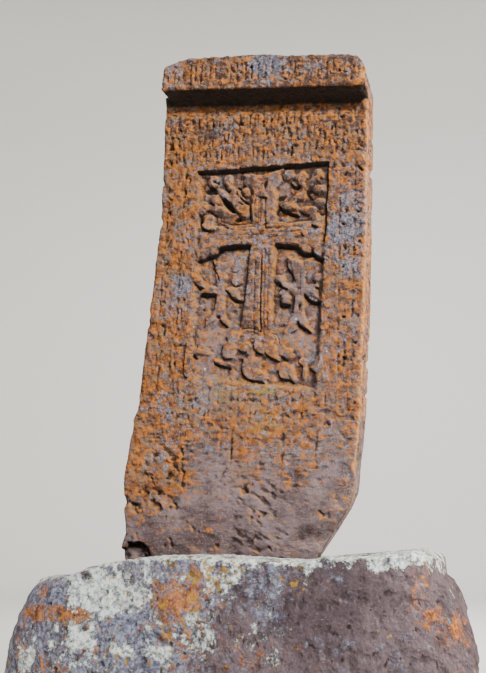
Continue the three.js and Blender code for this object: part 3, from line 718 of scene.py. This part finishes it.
def blurred(sheet, steps):
    """A running mean over a square of the sheet"""
    for axis in (0, 1):
        padded = np.concatenate([np.repeat(np.take(sheet, [0], axis), steps + 1, axis), sheet,
                                 np.repeat(np.take(sheet, [-1], axis), steps, axis)], axis)
        total = np.cumsum(padded, axis)
        size = sheet.shape[axis]
        ahead = np.take(total, np.arange(2 * steps + 1, 2 * steps + 1 + size), axis)
        sheet = (ahead - np.take(total, np.arange(size), axis)) / (2 * steps + 1)
    return sheet


# Painted shade darkens the cut lines, the hollows, and the walls that look down or to the left, away
# from the key light.
hollow_shade = np.clip((blurred(height, 3) - height) / 6 - 0.25, 0, 1)
step_u = np.gradient(height, axis=1) / np.maximum(np.gradient(front_u, axis=1), 0.5)
step_v = np.gradient(height, axis=0) / np.maximum(np.gradient(front_v, axis=0), 0.5)
unlit_walls = np.clip(0.8 * step_v + 0.5 * step_u - 0.45, 0, 1)
unlit_walls[face_rows - 1:shelf_end] = 0
painted_shade = np.clip(relief_shade + 0.35 * hollow_shade + 0.6 * unlit_walls, 0, 1)
# The painted shade is darkest under the cornice, and a little lighter near the face.
painted_shade[face_rows - 2:shelf_end - 6] = 1
underside = slice(face_rows, face_rows + shelf_rows)
shelf_points = np.stack([front_u[underside], front_w[underside], front_v[underside]], axis=-1)
near_face = smooth(46, 8, shelf)[:, None] * (0.3 + 0.3 * waves(shelf_points, 20))
painted_shade[underside] -= 0.5 * near_face
# A painted shadow of the cornice falls on the face just under it.
row_of = np.arange(rows_count)[:, None]
root = 0.38 * smooth(face_rows - 20, face_rows - 8, row_of)
root = root + 0.5 * smooth(face_rows - 8, face_rows - 3, row_of)
painted_shade = np.maximum(painted_shade, root * (row_of < face_rows) * smooth(396, 366, front_u))
painted_shade_ring = np.zeros(ring_u.shape)
painted_shade_ring[:, :front_columns] = painted_shade
# How far each point stands above (towards 1) or below (towards 0) the stone around it
stands = 0.5 + (height - blurred(height, 4)) / 11 + (height - blurred(height, 9)) / 40
stands[face_rows - 6:front_end - 30] = 0.5
proud = np.full(ring_u.shape, 0.5)
proud[:, :front_columns] = np.clip(stands, 0, 1)
# Which way each point faces: up and right, where the sun comes from, is 1. The shader paints highlight
# and shade by it.
facing = 0.5 - 0.6 * step_v - 0.48 * step_u
facing[face_rows - 3:shelf_end + 3] = 0.5
facing[front_end - 2:] = 0.5
sunny = np.full(ring_u.shape, 0.5)
for first, wall in [(front_columns, right_wall), (ring_count - len(side_share), left_wall)]:
    on_side = slice(first, first + len(side_share))
    proud[:, on_side] = np.clip(0.5 + (wall[3] - blurred(wall[3], 6)) / 7, 0, 1)
    sunny[:, on_side] = np.clip(0.5 - np.gradient(wall[3], axis=0) / 3.2, 0, 1)
on_foot = smooth(330, 150, front_v)
plain_corner = on_foot * smooth(18, 4, right - front_u)
facing = 0.5 + (facing - 0.5) * (1 - 0.3 * on_foot) * (1 - plain_corner)
sunny[:, :front_columns] = np.clip(facing, 0, 1)

# How thickly each lichen grows, from 0 to 1
everywhere = np.stack([ring_u, ring_w, ring_v], axis=-1)
drift = rough(everywhere, 150, 3)
orange_from = np.interp(ring_u, [-430, -230, -120, 60, 220, 400], [40, 110, 190, 200, 230, 320])
orange = 0.53 + 0.22 * smooth(-215, -260, ring_u) - 0.04 * smooth(1400, 1440, ring_v)
orange *= 0.22 + 0.78 * smooth(orange_from - 10, orange_from + 190, ring_v + 40 * drift)
orange += 0.13 * drift
grey = 0.12 + 0.22 * smooth(200, 420, ring_v)
grey -= 0.1 * smooth(1380, 1440, ring_v) * smooth(1690, 1640, ring_v)
grey += 0.04 * smooth(1640, 1700, ring_v) + 0.2 * rough(everywhere + 600, 110, 3)
# Moss keeps to the damp band under the panel.
moss = 0.14 + 0.2 * smooth(60, 10, np.abs(ring_v - 565)) + 0.2 * smooth(110, 40, np.abs(ring_v - 480))
moss *= smooth(-300, -200, ring_u) * smooth(330, 180, ring_u)
moss = np.clip(moss + 0.2 * rough(everywhere + 200, 90, 2) - 0.05, 0, 1)
# Patches that stand out: middle, half sizes, then what they add of orange, grey and moss
lichen_patches = [
    [-185, 1545, 52, 36, -0.6, 0.1, 0], [-330, 1590, 30, 26, -0.4, 0.1, 0],
    [-268, 945, 46, 48, -0.35, 0.45, 0], [330, 1130, 60, 48, -0.25, 0.5, 0],
    [352, 985, 34, 46, -0.15, 0.35, 0], [40, 1745, 70, 40, -0.3, 0.45, 0],
    [-260, 1765, 60, 30, 0.2, 0, 0.1], [-345, 1390, 40, 50, 0.25, 0, 0],
    [-330, 720, 46, 70, 0.4, 0, 0], [-345, 480, 60, 110, 0.5, 0, 0],
    [-330, 300, 70, 80, 0.45, 0.16, 0], [-250, 245, 70, 70, 0.3, 0.14, 0],
    [-300, 180, 60, 30, 0.15, 0.36, 0], [300, 640, 34, 60, 0.25, 0, 0],
    [215, 520, 50, 30, 0.2, 0, 0.1], [150, 900, 90, 130, -0.42, -0.2, 0],
    [-140, 1010, 70, 60, -0.05, 0, 0.15], [60, 560, 60, 20, 0, 0.1, 0.2],
    [-200, 600, 40, 24, 0, 0.2, 0.2], [-110, 540, 90, 60, -0.15, 0.05, 0.15],
    [-355, 120, 40, 30, 0.15, 0, 0], [120, 330, 150, 70, -0.12, 0.05, 0],
    [-130, 340, 90, 60, -0.2, 0.1, 0],
]
on_front = smooth(-60, -10, ring_w)
for middle_u, middle_v, half_u, half_v, *added in lichen_patches:
    gap = np.hypot((ring_u - middle_u) / half_u, (ring_v - middle_v) / half_v) + 0.25 * drift
    inside = smooth(1.25, 0.6, gap) * on_front
    for lichen, more in zip((orange, grey, moss), added):
        lichen += more * inside
on_top = smooth(1690, 1730, ring_v) * smooth(70, 40, ring_w)
grey += 0.35 * on_top
on_right_side = smooth(385, 398, ring_u) * smooth(20, -20, ring_w)
orange += (0.2 * smooth(250, 500, ring_v) - 0.06) * on_right_side - 0.24 * smooth(-150, -185, ring_w)
orange -= 0.16 * smooth(240, 160, ring_v) * smooth(-70, 0, ring_u) * on_front
# A brown darkening that grows upwards and is thin on the right side
top_darkening = 0.26 + 0.44 * smooth(500, 1300, ring_v) + 0.5 * smooth(1380, 1560, ring_v)
top_darkening = top_darkening - 0.3 * smooth(400, 250, ring_v) + 0.2 * rough(everywhere + 90, 90, 3)
top_darkening = np.clip(top_darkening * (1 - 0.8 * on_right_side), 0, 1)
orange, grey, moss = (np.clip(lichen, 0, 1) for lichen in (orange, grey, moss))

in_panel = smooth(4, -14, outline_gap(ring_u, ring_v, panel_corners)) * on_front
orange = np.clip(orange - 0.11 * in_panel - 0.06 * smooth(1640, 1700, ring_v), 0, 1)

# How eaten the surface is: most on the inscribed faces, less in the panel, little on the foot
eaten = 0.3 + 0.6 * smooth(560, 640, ring_v)
eaten += 0.45 * smooth(-150, -230, ring_u) * smooth(180, 260, ring_v)
eaten += 0.36 * smooth(330, 480, ring_v) * smooth(640, 560, ring_v)
right_of_stem = in_panel * smooth(70, 110, ring_u) * smooth(1090, 1050, ring_v)
eaten = eaten * (1 - 0.3 * in_panel) * (1 - 0.5 * right_of_stem)
eaten = np.clip(eaten + 0.14 * drift, 0.12, 1)


def ring_mesh(name, points, fields):
    """Skins a closed body over rings of points. Its two ends are closed by flat polygons."""
    rings, count = points.shape[:2]
    index = np.arange(rings * count).reshape(rings, count)
    low, high = index[:-1], index[1:]
    low_next, high_next = np.roll(low, -1, axis=1), np.roll(high, -1, axis=1)
    quads = np.stack([low, low_next, high_next, high], axis=-1).reshape(-1, 4)
    corners = np.concatenate([quads.ravel(), index[0, ::-1], index[-1]])
    starts = np.concatenate([np.arange(len(quads)) * 4, len(quads) * 4 + np.array([0, count])])
    mesh = bpy.data.meshes.new(name)
    mesh.vertices.add(rings * count)
    mesh.vertices.foreach_set("co", points.astype(np.float32).ravel())
    mesh.loops.add(len(corners))
    mesh.loops.foreach_set("vertex_index", corners.astype(np.int32))
    mesh.polygons.add(len(starts))
    mesh.polygons.foreach_set("loop_start", starts.astype(np.int32))
    mesh.update(calc_edges=True)
    for field, values in fields.items():
        layer = mesh.attributes.new(field, "FLOAT", "POINT")
        layer.data.foreach_set("value", values.astype(np.float32).ravel())
    mesh.validate()
    mesh.shade_smooth()
    body = bpy.data.objects.new(name, mesh)
    bpy.context.scene.collection.objects.link(body)
    return body


def thin_out(body, most_triangles):
    """Merges the smallest faces where the stone is plain, so that the carving keeps its points"""
    body.data.calc_loop_triangles()
    share = most_triangles / len(body.data.loop_triangles)
    thinner = body.modifiers.new("thinner", "DECIMATE")
    thinner.ratio = min(1.0, share)
    shown = bpy.context.evaluated_depsgraph_get()
    mesh = bpy.data.meshes.new_from_object(body.evaluated_get(shown))
    body.modifiers.clear()
    body.data = mesh
    mesh.shade_smooth()


across_axis = np.array([math.cos(slab_lean), 0, -math.sin(slab_lean)])
up_axis = np.array([math.sin(slab_lean), 0, math.cos(slab_lean)])
out_axis = np.array([0, -1, 0])
slab_points = np.array([0, 0, slab_level]) + (
    ring_u[..., None] * across_axis + ring_v[..., None] * up_axis + ring_w[..., None] * out_axis)
slab_points[0, :, 2] = seat_level
low, high = (np.array(corner) * 1000 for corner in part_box("carved_slab"))
slab_points = np.clip(slab_points, low, high)
slab = ring_mesh("tuff_slab", slab_points / 1000, {
    "orange": orange, "grey": grey, "moss": moss, "painted_shade": painted_shade_ring, "eaten": eaten,
    "proud": proud, "sunny": sunny, "top_darkening": top_darkening})
thin_out(slab, most_triangles=186000)


def linear(code):
    """An sRGB hex colour as linear RGBA"""
    parts = [int(code[i:i + 2], 16) / 255 for i in (1, 3, 5)]
    return [part / 12.92 if part <= 0.04045 else ((part + 0.055) / 1.055) ** 2.4
            for part in parts] + [1]


def add_node(tree, kind, sockets, out=0, **settings):
    """Adds a node, sets its settings, sets or links its sockets, and gives one of its outputs"""
    made = tree.nodes.new(kind)
    for name, value in settings.items():
        setattr(made, name, value)
    for socket, value in sockets.items():
        if isinstance(value, bpy.types.NodeSocket):
            tree.links.new(value, made.inputs[socket])
        else:
            made.inputs[socket].default_value = value
    return made.outputs[out]


def grain(tree, place, size_mm, detail=4, roughness=0.6, shift=0):
    """Uneven grain of the stone or of what grows on it, in blotches about size_mm across"""
    moved = add_node(tree, "ShaderNodeVectorMath", {0: place, 1: (shift,) * 3}, operation="ADD")
    return add_node(tree, "ShaderNodeTexNoise", {
        "Vector": moved, "Scale": 500 / size_mm, "Detail": detail, "Roughness": roughness})


def lit_slope(tree, place, step, bumps, *size):
    """How much lower the bumps are a step further up and to the right, where the sun comes from"""
    ahead = add_node(tree, "ShaderNodeVectorMath", {0: place, 1: step}, operation="ADD")
    beyond = grain(tree, ahead, *size)
    return add_node(tree, "ShaderNodeMath", {0: bumps, 1: beyond}, operation="SUBTRACT")


def heaped(tree, ground, *layers):
    """Heaps layers, each a height and the share of it that counts, on a ground"""
    for height, share in layers:
        ground = add_node(tree, "ShaderNodeMath", {0: height, 1: share, 2: ground},
                          operation="MULTIPLY_ADD")
    return ground


def growth(tree, field, spots):
    """The spots of a lichen, more of them where the mesh says that it grows thickly"""
    thick = add_node(tree, "ShaderNodeAttribute", {}, "Fac", attribute_name=field)
    return heaped(tree, spots, (thick, 0.42))


def coat(tree, under, over, value, low, high, share=1.0):
    """Lays a colour over another where a value passes from low to high.
    The mix node's colours are its inputs 6 and 7 and its output 2."""
    cover = add_node(tree, "ShaderNodeMapRange", {
        "Value": value, "From Min": low, "From Max": high, "To Max": share},
        interpolation_type="SMOOTHSTEP")
    under, over = (linear(part) if isinstance(part, str) else part for part in (under, over))
    return add_node(tree, "ShaderNodeMix", {0: cover, 6: under, 7: over}, 2, data_type="RGBA")


def stone(name, roughness):
    """A new stone: its material and shader, and the place of each point in metres"""
    made = bpy.data.materials.new(name)
    made.use_nodes = True
    shader = made.node_tree.nodes["Principled BSDF"]
    shader.inputs["Roughness"].default_value = roughness
    shader.inputs["IOR"].default_value = 1.5
    shader.inputs["Specular IOR Level"].default_value = 0.25
    return made, made.node_tree, shader, add_node(made.node_tree, "ShaderNodeTexCoord", {}, "Object")


def dress(body, made, shader, colour, height):
    """Gives the stone its colour and its fine relief, and the body its stone"""
    tree = made.node_tree
    relief_depth = 0.034        # metres for a height of 1
    tree.links.new(colour, shader.inputs["Base Color"])
    relief = add_node(tree, "ShaderNodeBump", {
        "Strength": 1.0, "Distance": relief_depth, "Height": height})
    tree.links.new(relief, shader.inputs["Normal"])
    body.data.materials.clear()
    body.data.materials.append(made)


# Tuff, a soft volcanic stone, hewn and weathered: quite matt, purple-brown, grained at 2 to 4 mm.
# Weather has eaten worm-like creases 8 to 14 mm apart into it. Crustose lichen covers the lumps
# between them in orange, ochre and grey; painted shade darkens the gaps between the warm lumps.
tuff, tree, shader, place = stone("weathered_tuff", 0.93)
eaten_part, proud_part, sunny_part, painted_shade_part = (
    add_node(tree, "ShaderNodeAttribute", {}, "Fac", attribute_name=field)
    for field in ("eaten", "proud", "sunny", "painted_shade"))
grit = grain(tree, place, 3.5, 3, 0.65, 3.1)
lumps = grain(tree, place, 12, 3, 0.6)
lying = add_node(tree, "ShaderNodeVectorMath", {0: place, 1: (0.45, 0.45, 1.0)},
                 operation="MULTIPLY")
streaks = grain(tree, lying, 10, 3, 0.55, 2.6)
# Lumps where the stone is eaten, lying streaks where it isn't
skin = add_node(tree, "ShaderNodeMix", {0: eaten_part, 2: streaks, 3: lumps})
uneaten_part = add_node(tree, "ShaderNodeMath", {0: 1.0, 1: eaten_part}, operation="SUBTRACT")
sunny_side = sunny_part
for bumps_lit, part, share in [
        (lit_slope(tree, place, (0.0035, 0, 0.0045), lumps, 12, 3, 0.6), eaten_part, 2.2),
        (lit_slope(tree, lying, (0.0015, 0, 0.0045), streaks, 10, 3, 0.55, 2.6), uneaten_part, 1.3)]:
    kept = add_node(tree, "ShaderNodeMath", {0: bumps_lit, 1: part}, operation="MULTIPLY")
    sunny_side = heaped(tree, sunny_side, (kept, share))
# Bare tuff, its light grit, and the brown darkening towards the top
colour = coat(tree, "#605256", "#8c7b80", grain(tree, place, 120), 0.38, 0.62)
colour = coat(tree, colour, "#9e908f", grit, 0.5, 0.72, 0.6)
top_darkening_spots = growth(tree, "top_darkening", grain(tree, place, 18, 5, 0.65, 21.7))
colour = coat(tree, colour, "#513b30", top_darkening_spots, 0.5, 0.9, 0.86)
# Orange lichen takes the lumps that stand up, and more of it goes on the sides that face the key light,
# where its lighter colour is a painted highlight.
raised_lumps = heaped(tree, lumps, (proud_part, 0.25))
orange_spots = heaped(tree, grain(tree, place, 7, 5, 0.72, 7.7),
                      (raised_lumps, 0.3), (skin, 0.5), (sunny_side, 0.22))
orange_hue = coat(tree, "#7c4c28", "#c4772c", grain(tree, place, 12, 4, 0.6, 1.9), 0.4, 0.6)
orange_hue = coat(tree, orange_hue, "#866c58", grain(tree, place, 16, 4, 0.65, 5.3), 0.46, 0.6)
colour = coat(tree, colour, orange_hue, growth(tree, "orange", orange_spots), 1.175, 1.3, 0.9)
# Grey lichen, moss and a few white spots, one in about 77 mm
grey_spots = growth(tree, "grey", grain(tree, place, 11, 5, 0.74, 11.3))
grey_hue = coat(tree, "#5f6478", "#9aa1b4", grit, 0.42, 0.6)
colour = coat(tree, colour, grey_hue, grey_spots, 0.66, 0.78, 0.66)
moss_spots = growth(tree, "moss", grain(tree, place, 8, 5, 0.74, 15.1))
colour = coat(tree, colour, "#a48a34", moss_spots, 0.68, 0.8, 0.7)
white_spots = add_node(tree, "ShaderNodeTexVoronoi", {
    "Vector": place, "Scale": 13.0, "Randomness": 1.0})
colour = coat(tree, colour, "#d9dcd8", white_spots, 0.06, 0.04, 0.7)
# Painted shade darkens the creases, the hollows and the sides away from the key light, and a painted
# highlight lightens the sides that face it. Near-black painted shade fills the cut lines, the walls
# that face away from the light and the cornice's underside.
crease_shade_share = add_node(tree, "ShaderNodeMath", {0: eaten_part, 1: 0.45}, operation="MULTIPLY")
colour = coat(tree, colour, "#36261f", lumps, 0.5, 0.36, crease_shade_share)
colour = coat(tree, colour, "#2c201b", proud_part, 0.44, 0.05, 0.7)
colour = coat(tree, colour, "#2c1f19", sunny_side, 0.44, 0.0, 0.75)
colour = coat(tree, colour, "#d39a58", sunny_side, 0.62, 1.1, 0.4)
colour = coat(tree, colour, "#15110f", heaped(tree, painted_shade_part, (lumps, 0.5)), 0.5, 1.0, 0.94)
eaten_depth = add_node(tree, "ShaderNodeMapRange", {
    "Value": eaten_part, "To Min": 0.2, "To Max": 1.0})
skin_height = add_node(tree, "ShaderNodeMath", {0: skin, 1: eaten_depth}, operation="MULTIPLY")
dress(slab, tuff, shader, colour, heaped(tree, skin_height, (grit, 0.1)))

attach(slab, "root")
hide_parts("carved_slab")

# The boulder
# A rough block of the same country rock, only squared up with a few blows, with a shallow socket
# in its top that takes the slab's foot. The slab stands in it by its own weight.
# Its crest and left side are crusted with pale lichen; the right side is bare and pecked.
boulder_middle = [10, 70]
# Half its width and half its depth, by height
half_widths = [[0, 744], [250, 748], [370, 738], [450, 718], [530, 686], [600, 630]]
half_depths = [[0, 440], [300, 450], [450, 430], [540, 405], [600, 370]]
squareness = 4.2        # 2 is an oval plan, more is squarer
widest, deepest = 748, 450        # half measures
shoulder_level = 550
shoulder_drop = 14
# How high its top is, by place across
crest_line = [
    [-700, 528], [-600, 543], [-500, 552], [-440, 560], [-400, 578], [-310, 594], [-180, 611],
    [-50, 614], [80, 607], [280, 600], [340, 611], [470, 618], [590, 630], [645, 620], [700, 560],
]
socket_middle = [-81.5, 95]
socket_half = [359.5, 107]


def boulder_turns():
    """Turns around the plan, 5 mm apart along the front and wider at the back"""
    fine = np.linspace(0, 2 * math.pi, 20001)
    c, s = np.cos(fine), np.sin(fine)
    x = widest * np.sign(c) * np.abs(c) ** (2 / squareness)
    y = deepest * np.sign(s) * np.abs(s) ** (2 / squareness)
    spacing = np.interp(y[:-1], [-deepest, -380, 100, deepest], [5.4, 6.5, 9, 12])
    walked = np.concatenate([[0], np.cumsum(np.hypot(np.diff(x), np.diff(y)) / spacing)])
    count = int(walked[-1])
    return np.interp(np.arange(count) * walked[-1] / count, walked, fine)


turns = boulder_turns()
side_levels = np.linspace(0, shoulder_level, 96)
inward = np.concatenate([
    np.linspace(1, 0.985, 5)[1:], np.linspace(0.985, 0.93, 8)[1:], np.linspace(0.93, 0.012, 66)[1:]])
shares = np.concatenate([np.ones(len(side_levels)), inward])[:, None]
levels = np.concatenate([side_levels, np.full(len(inward), shoulder_level)])[:, None]
drops = np.interp(shares, [0.93, 0.985, 1], [0, 6, shoulder_drop])
c, s = np.cos(turns)[None, :], np.sin(turns)[None, :]
plan_x, plan_y = (
    middle + shares * knots(half, levels) * np.sign(way) * np.abs(way) ** (2 / squareness)
    for middle, half, way in zip(boulder_middle, (half_widths, half_depths), (c, s)))
bulk = 16 * (hewn(0.6 * plan_x, 0.6 * plan_y, 0.6 * levels) - 0.5)
rock_points = np.stack([plan_x, plan_y, levels + 0 * plan_x], axis=-1)
# Split rock: broad facets with ridges between them, then lumps, then peck marks
split = np.abs(rough(rock_points, 150, 2)) + 0.5 * np.abs(rough(rock_points + 77, 60, 2))
side_part = smooth(0.9, 1, shares)
pecked = np.stack([plan_x, plan_y, rock_points[..., 2] / 1.5 + plan_x * 0.25], axis=-1)
pecks = np.clip(rough(pecked + 210, 11, 2) - 0.38, 0, 1)
worked = bulk - side_part * (
    10 * split + 2.4 * (1 + rough(rock_points, 26, 3)) + 8 * pecks * smooth(540, 500, levels))
x = plan_x + worked * c
y = plan_y + worked * s
crest = knots(crest_line, x)
level_top = crest - drops + 3 * hewn(x, y, 0) * (shares < 1)
side_z = np.minimum(levels, levels / shoulder_level * (crest - shoulder_drop))
z = np.where(shares < 1, level_top, side_z)
top_points = np.stack([x, y, np.zeros(x.shape)], axis=-1)
top_part = smooth(shoulder_level - 40, shoulder_level, levels)
z = z - top_part * (3 * np.abs(rough(top_points, 60, 3)) + 1.6 * (1 + rough(top_points, 15, 2)))
socket_gap = np.maximum(np.abs(x - socket_middle[0]) - socket_half[0],
                        np.abs(y - socket_middle[1]) - socket_half[1])
socket = smooth(2, -5, socket_gap + 2 * waves(top_points, 30)) * (shares < 1)
socket_floor = seat_level - 1.5 - 2 * np.abs(waves(top_points, 35))
z = np.where(socket > 0, z + (np.minimum(z, socket_floor) - z) * socket, z)
z[0] = 0

# How thickly each lichen grows on the rock
rock = np.stack([x, y, z], axis=-1)
rock_drift = rough(rock, 120, 3)
from_crest = crest - z
pale = 0.22 + 0.28 * rock_drift
pale += 0.4 * smooth(24, 4, from_crest + 10 * rock_drift)
pale += (0.04 + 0.3 * rough(rock + 640, 60, 3)) * top_part * (shares < 0.985)
rust = 0.24 + 0.22 * rough(rock + 500, 100, 3)
yellow = 0.2 + 0.2 * rough(rock + 800, 70, 2) + 0.12 * top_part
veil = 0.5 + 0.3 * rough(rock + 350, 140, 3) - 0.3 * smooth(0, 300, y)
right_side = smooth(180, 330, x)
pale -= 0.34 * right_side * smooth(10, 40, from_crest)
rust -= 0.2 * right_side
yellow -= 0.2 * right_side
veil += 0.3 * smooth(100, -100, x) - 0.4 * right_side
# Patches on the front: middle across and up, half sizes, then pale, rust, yellow
rock_patches = [
    [-330, 505, 110, 62, 0.5, -0.1, 0], [-250, 470, 70, 40, 0.25, 0, 0],
    [-620, 540, 60, 22, 0.4, 0, 0.12], [-650, 480, 36, 30, 0.15, 0.05, 0.22],
    [-565, 500, 50, 24, -0.6, 0.15, 0], [-150, 560, 90, 24, 0.25, 0, 0.1],
    [-50, 505, 80, 44, 0, 0.2, 0.08], [-170, 505, 60, 34, 0.14, 0.12, 0.08],
    [-60, 380, 70, 120, 0.02, 0.24, 0.02], [60, 545, 60, 26, 0.25, 0.05, 0.05],
    [-480, 440, 130, 24, 0, 0.34, 0.1], [-380, 375, 70, 34, 0.34, 0, 0],
    [-560, 330, 50, 70, 0.34, 0, 0], [-170, 355, 110, 26, 0.3, 0, 0.02],
    [-170, 450, 40, 60, 0.2, 0, 0.05], [-20, 440, 24, 30, 0.3, 0, 0.05],
    [620, 500, 40, 60, -0.1, 0.3, 0.05], [660, 430, 40, 60, 0, 0.34, 0.05],
    [-450, 300, 80, 40, 0, 0.1, 0.05], [300, 592, 60, 14, 0.1, 0, 0.25],
    [560, 600, 90, 30, 0.4, 0, 0], [330, 530, 50, 24, 0.2, 0, 0.05],
    [520, 600, 40, 14, 0, 0, 0.25], [725, 470, 36, 110, -0.3, 0.36, 0.05],
    [-60, 350, 120, 60, 0.04, 0, 0], [20, 520, 90, 60, 0.12, 0.04, 0.06],
    [-480, 380, 90, 60, -0.1, 0, 0],
]
on_rock_front = smooth(0, -200, y)
for middle_x, middle_z, half_x, half_z, *added in rock_patches:
    gap = np.hypot((x - middle_x) / half_x, (z - middle_z) / half_z) + 0.3 * rock_drift
    inside = smooth(1.3, 0.6, gap) * on_rock_front
    for lichen, more in zip((pale, rust, yellow), added):
        lichen += more * inside
# Painted shade in the rock's hollows and in the socket under the slab
rock_hollow_shade = np.clip((blurred(worked, 3) - worked) / 5, 0, 1) * side_part
rock_hollow_shade = np.maximum(rock_hollow_shade, 0.8 * socket)

low, high = (np.array(corner) * 1000 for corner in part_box("base_boulder"))
rock = np.clip(rock, low, high)
boulder = ring_mesh("rough_boulder", rock / 1000, {
    "pale": np.clip(pale, 0, 1), "rust": np.clip(rust, 0, 1), "yellow": np.clip(yellow, 0, 1),
    "veil": np.clip(veil, 0, 1), "painted_shade": rock_hollow_shade})
thin_out(boulder, most_triangles=160000)

# Split volcanic rock: dull purple-grey, grained at 3 to 6 mm, with short steep peck marks.
# Map lichen lies on it in pale green-white crusts with sharp edges, rust-orange patches and
# yellow dots, and a bluish veil dulls the bare stone between them.
rockface, tree, shader, place = stone("lichened_rock", 0.94)
lumps = grain(tree, place, 17, 3, 0.55)
grit = grain(tree, place, 4, 3, 0.65, 3.1)
lit = lit_slope(tree, place, (0.004, 0, 0.004), lumps, 17, 3, 0.55)
colour = coat(tree, "#4d4249", "#6a5c63", grain(tree, place, 160), 0.36, 0.64)
colour = coat(tree, colour, "#8d7e81", grit, 0.5, 0.74, 0.4)
veil_hue = coat(tree, "#525a78", "#a6b2cc", grain(tree, place, 7, 4, 0.75, 6.2), 0.4, 0.6)
veil_spots = growth(tree, "veil", grain(tree, place, 12, 7, 0.8, 4.4))
colour = coat(tree, colour, veil_hue, veil_spots, 0.62, 0.82, 0.66)
rust_hue = coat(tree, "#7c4626", "#cc8038", grain(tree, place, 7, 5, 0.75, 8.4), 0.4, 0.6)
rust_spots = growth(tree, "rust", grain(tree, place, 12, 7, 0.8, 9.2))
colour = coat(tree, colour, rust_hue, rust_spots, 0.64, 0.75, 0.82)
pale_hue = coat(tree, "#5f7080", "#f0fbf9", grain(tree, place, 9, 5, 0.78, 2.2), 0.36, 0.56)
pale_spots = growth(tree, "pale", grain(tree, place, 20, 8, 0.78, 13.6))
colour = coat(tree, colour, pale_hue, pale_spots, 0.662, 0.712, 0.92)
yellow_spots = growth(tree, "yellow", grain(tree, place, 11, 4, 0.66, 17.9))
colour = coat(tree, colour, "#b08a2c", yellow_spots, 0.72, 0.77, 0.85)
# Painted shade in the pits and on the far side of the lumps, a painted highlight on the near side, then
# painted shade in the hollows and the socket
colour = coat(tree, colour, "#2e2627", lumps, 0.48, 0.34, 0.5)
colour = coat(tree, colour, "#231c1e", lit, -0.03, -0.2, 0.65)
colour = coat(tree, colour, "#d8cfcb", lit, 0.06, 0.24, 0.3)
painted_shade_part = add_node(tree, "ShaderNodeAttribute", {}, "Fac", attribute_name="painted_shade")
colour = coat(tree, colour, "#1f1918", heaped(tree, painted_shade_part, (lumps, 0.4)), 0.5, 1.0, 0.85)
pale_crust = add_node(tree, "ShaderNodeMapRange", {
    "Value": pale_spots, "From Min": 0.662, "From Max": 0.712}, interpolation_type="SMOOTHSTEP")
dress(boulder, rockface, shader, colour, heaped(tree, lumps, (grit, 0.2), (pale_crust, 0.06)))

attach(boulder, "root")
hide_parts("base_boulder")

# The studio
# A pale floor that curves up into a backdrop, a small soft light high on the right, a weaker one
# behind the right side, one for the backdrop, and a faint even sky.
stage_radius = 9.0
curve_radius = 2.0
curve = np.linspace(0.1, math.pi / 2, 12)
flat = np.linspace(0, stage_radius - curve_radius, 12)[1:]
stage_reach = np.concatenate([
    flat, stage_radius - curve_radius + curve_radius * np.sin(curve), np.full(3, stage_radius)])
stage_level = np.concatenate([
    0 * flat, curve_radius - curve_radius * np.cos(curve), curve_radius + 2.5 * np.arange(1, 4)])
turns = np.linspace(0, 2 * math.pi, 97)[:-1]
stage_points = np.stack([
    stage_reach[:, None] * np.cos(turns), stage_reach[:, None] * np.sin(turns),
    np.repeat(stage_level[:, None] - 0.002, len(turns), axis=1)], axis=-1)
stage = ring_mesh("studio_stage", stage_points[::-1], {})
paper = bpy.data.materials.new("matt_paper")
paper.use_nodes = True
paper_shader = paper.node_tree.nodes["Principled BSDF"]
paper_shader.inputs["Base Color"].default_value = linear("#e4e4e2")
paper_shader.inputs["Roughness"].default_value = 0.95
stage.data.materials.append(paper)


def soft_light(name, place, aim, size, power, colour):
    """A round lamp, size metres across, that points at its aim"""
    lamp = bpy.data.lights.new(name, "AREA")
    lamp.shape = "DISK"
    lamp.size = size
    lamp.energy = power
    lamp.color = linear(colour)[:3]
    holder = bpy.data.objects.new(name, lamp)
    holder.location = place
    holder.rotation_euler = (Vector(aim) - Vector(place)).to_track_quat("-Z", "Y").to_euler()
    bpy.context.scene.collection.objects.link(holder)


soft_light("key_light", (2.8, -4.45, 4.2), (0, 0, 1.3), 0.5, 455, "#fffaf4")
soft_light("side_light", (3.6, 0.9, 2.4), (0.3, 0, 1.3), 1.0, 270, "#fff0dc")
soft_light("backdrop_light", (0, 2.2, 4.0), (0, 8, 2.0), 3.0, 330, "#ffffff")

world = bpy.data.worlds.new("even_sky")
world.use_nodes = True
sky = world.node_tree.nodes["Background"]
sky.inputs["Color"].default_value = linear("#e2e8f4")
sky.inputs["Strength"].default_value = 0.12
bpy.context.scene.world = world

# The camera stands low and looks up, a little to the right of the face
# as in the photograph: a picture 486 by 673 with a focal length of 800 of its pixels.
picture_height = 673
focal_pixels = 800
sensor = 36
camera = bpy.data.cameras.new("camera")
camera.sensor_width = sensor
camera.lens = sensor * focal_pixels / picture_height
camera_place = Vector((0.818, -2.598, 0.669))
camera_aim = Vector((0.023, 0, 1.347))
holder = bpy.data.objects.new("camera", camera)
holder.location = camera_place
holder.rotation_euler = (camera_aim - camera_place).to_track_quat("-Z", "Y").to_euler()
bpy.context.scene.collection.objects.link(holder)
bpy.context.scene.camera = holder
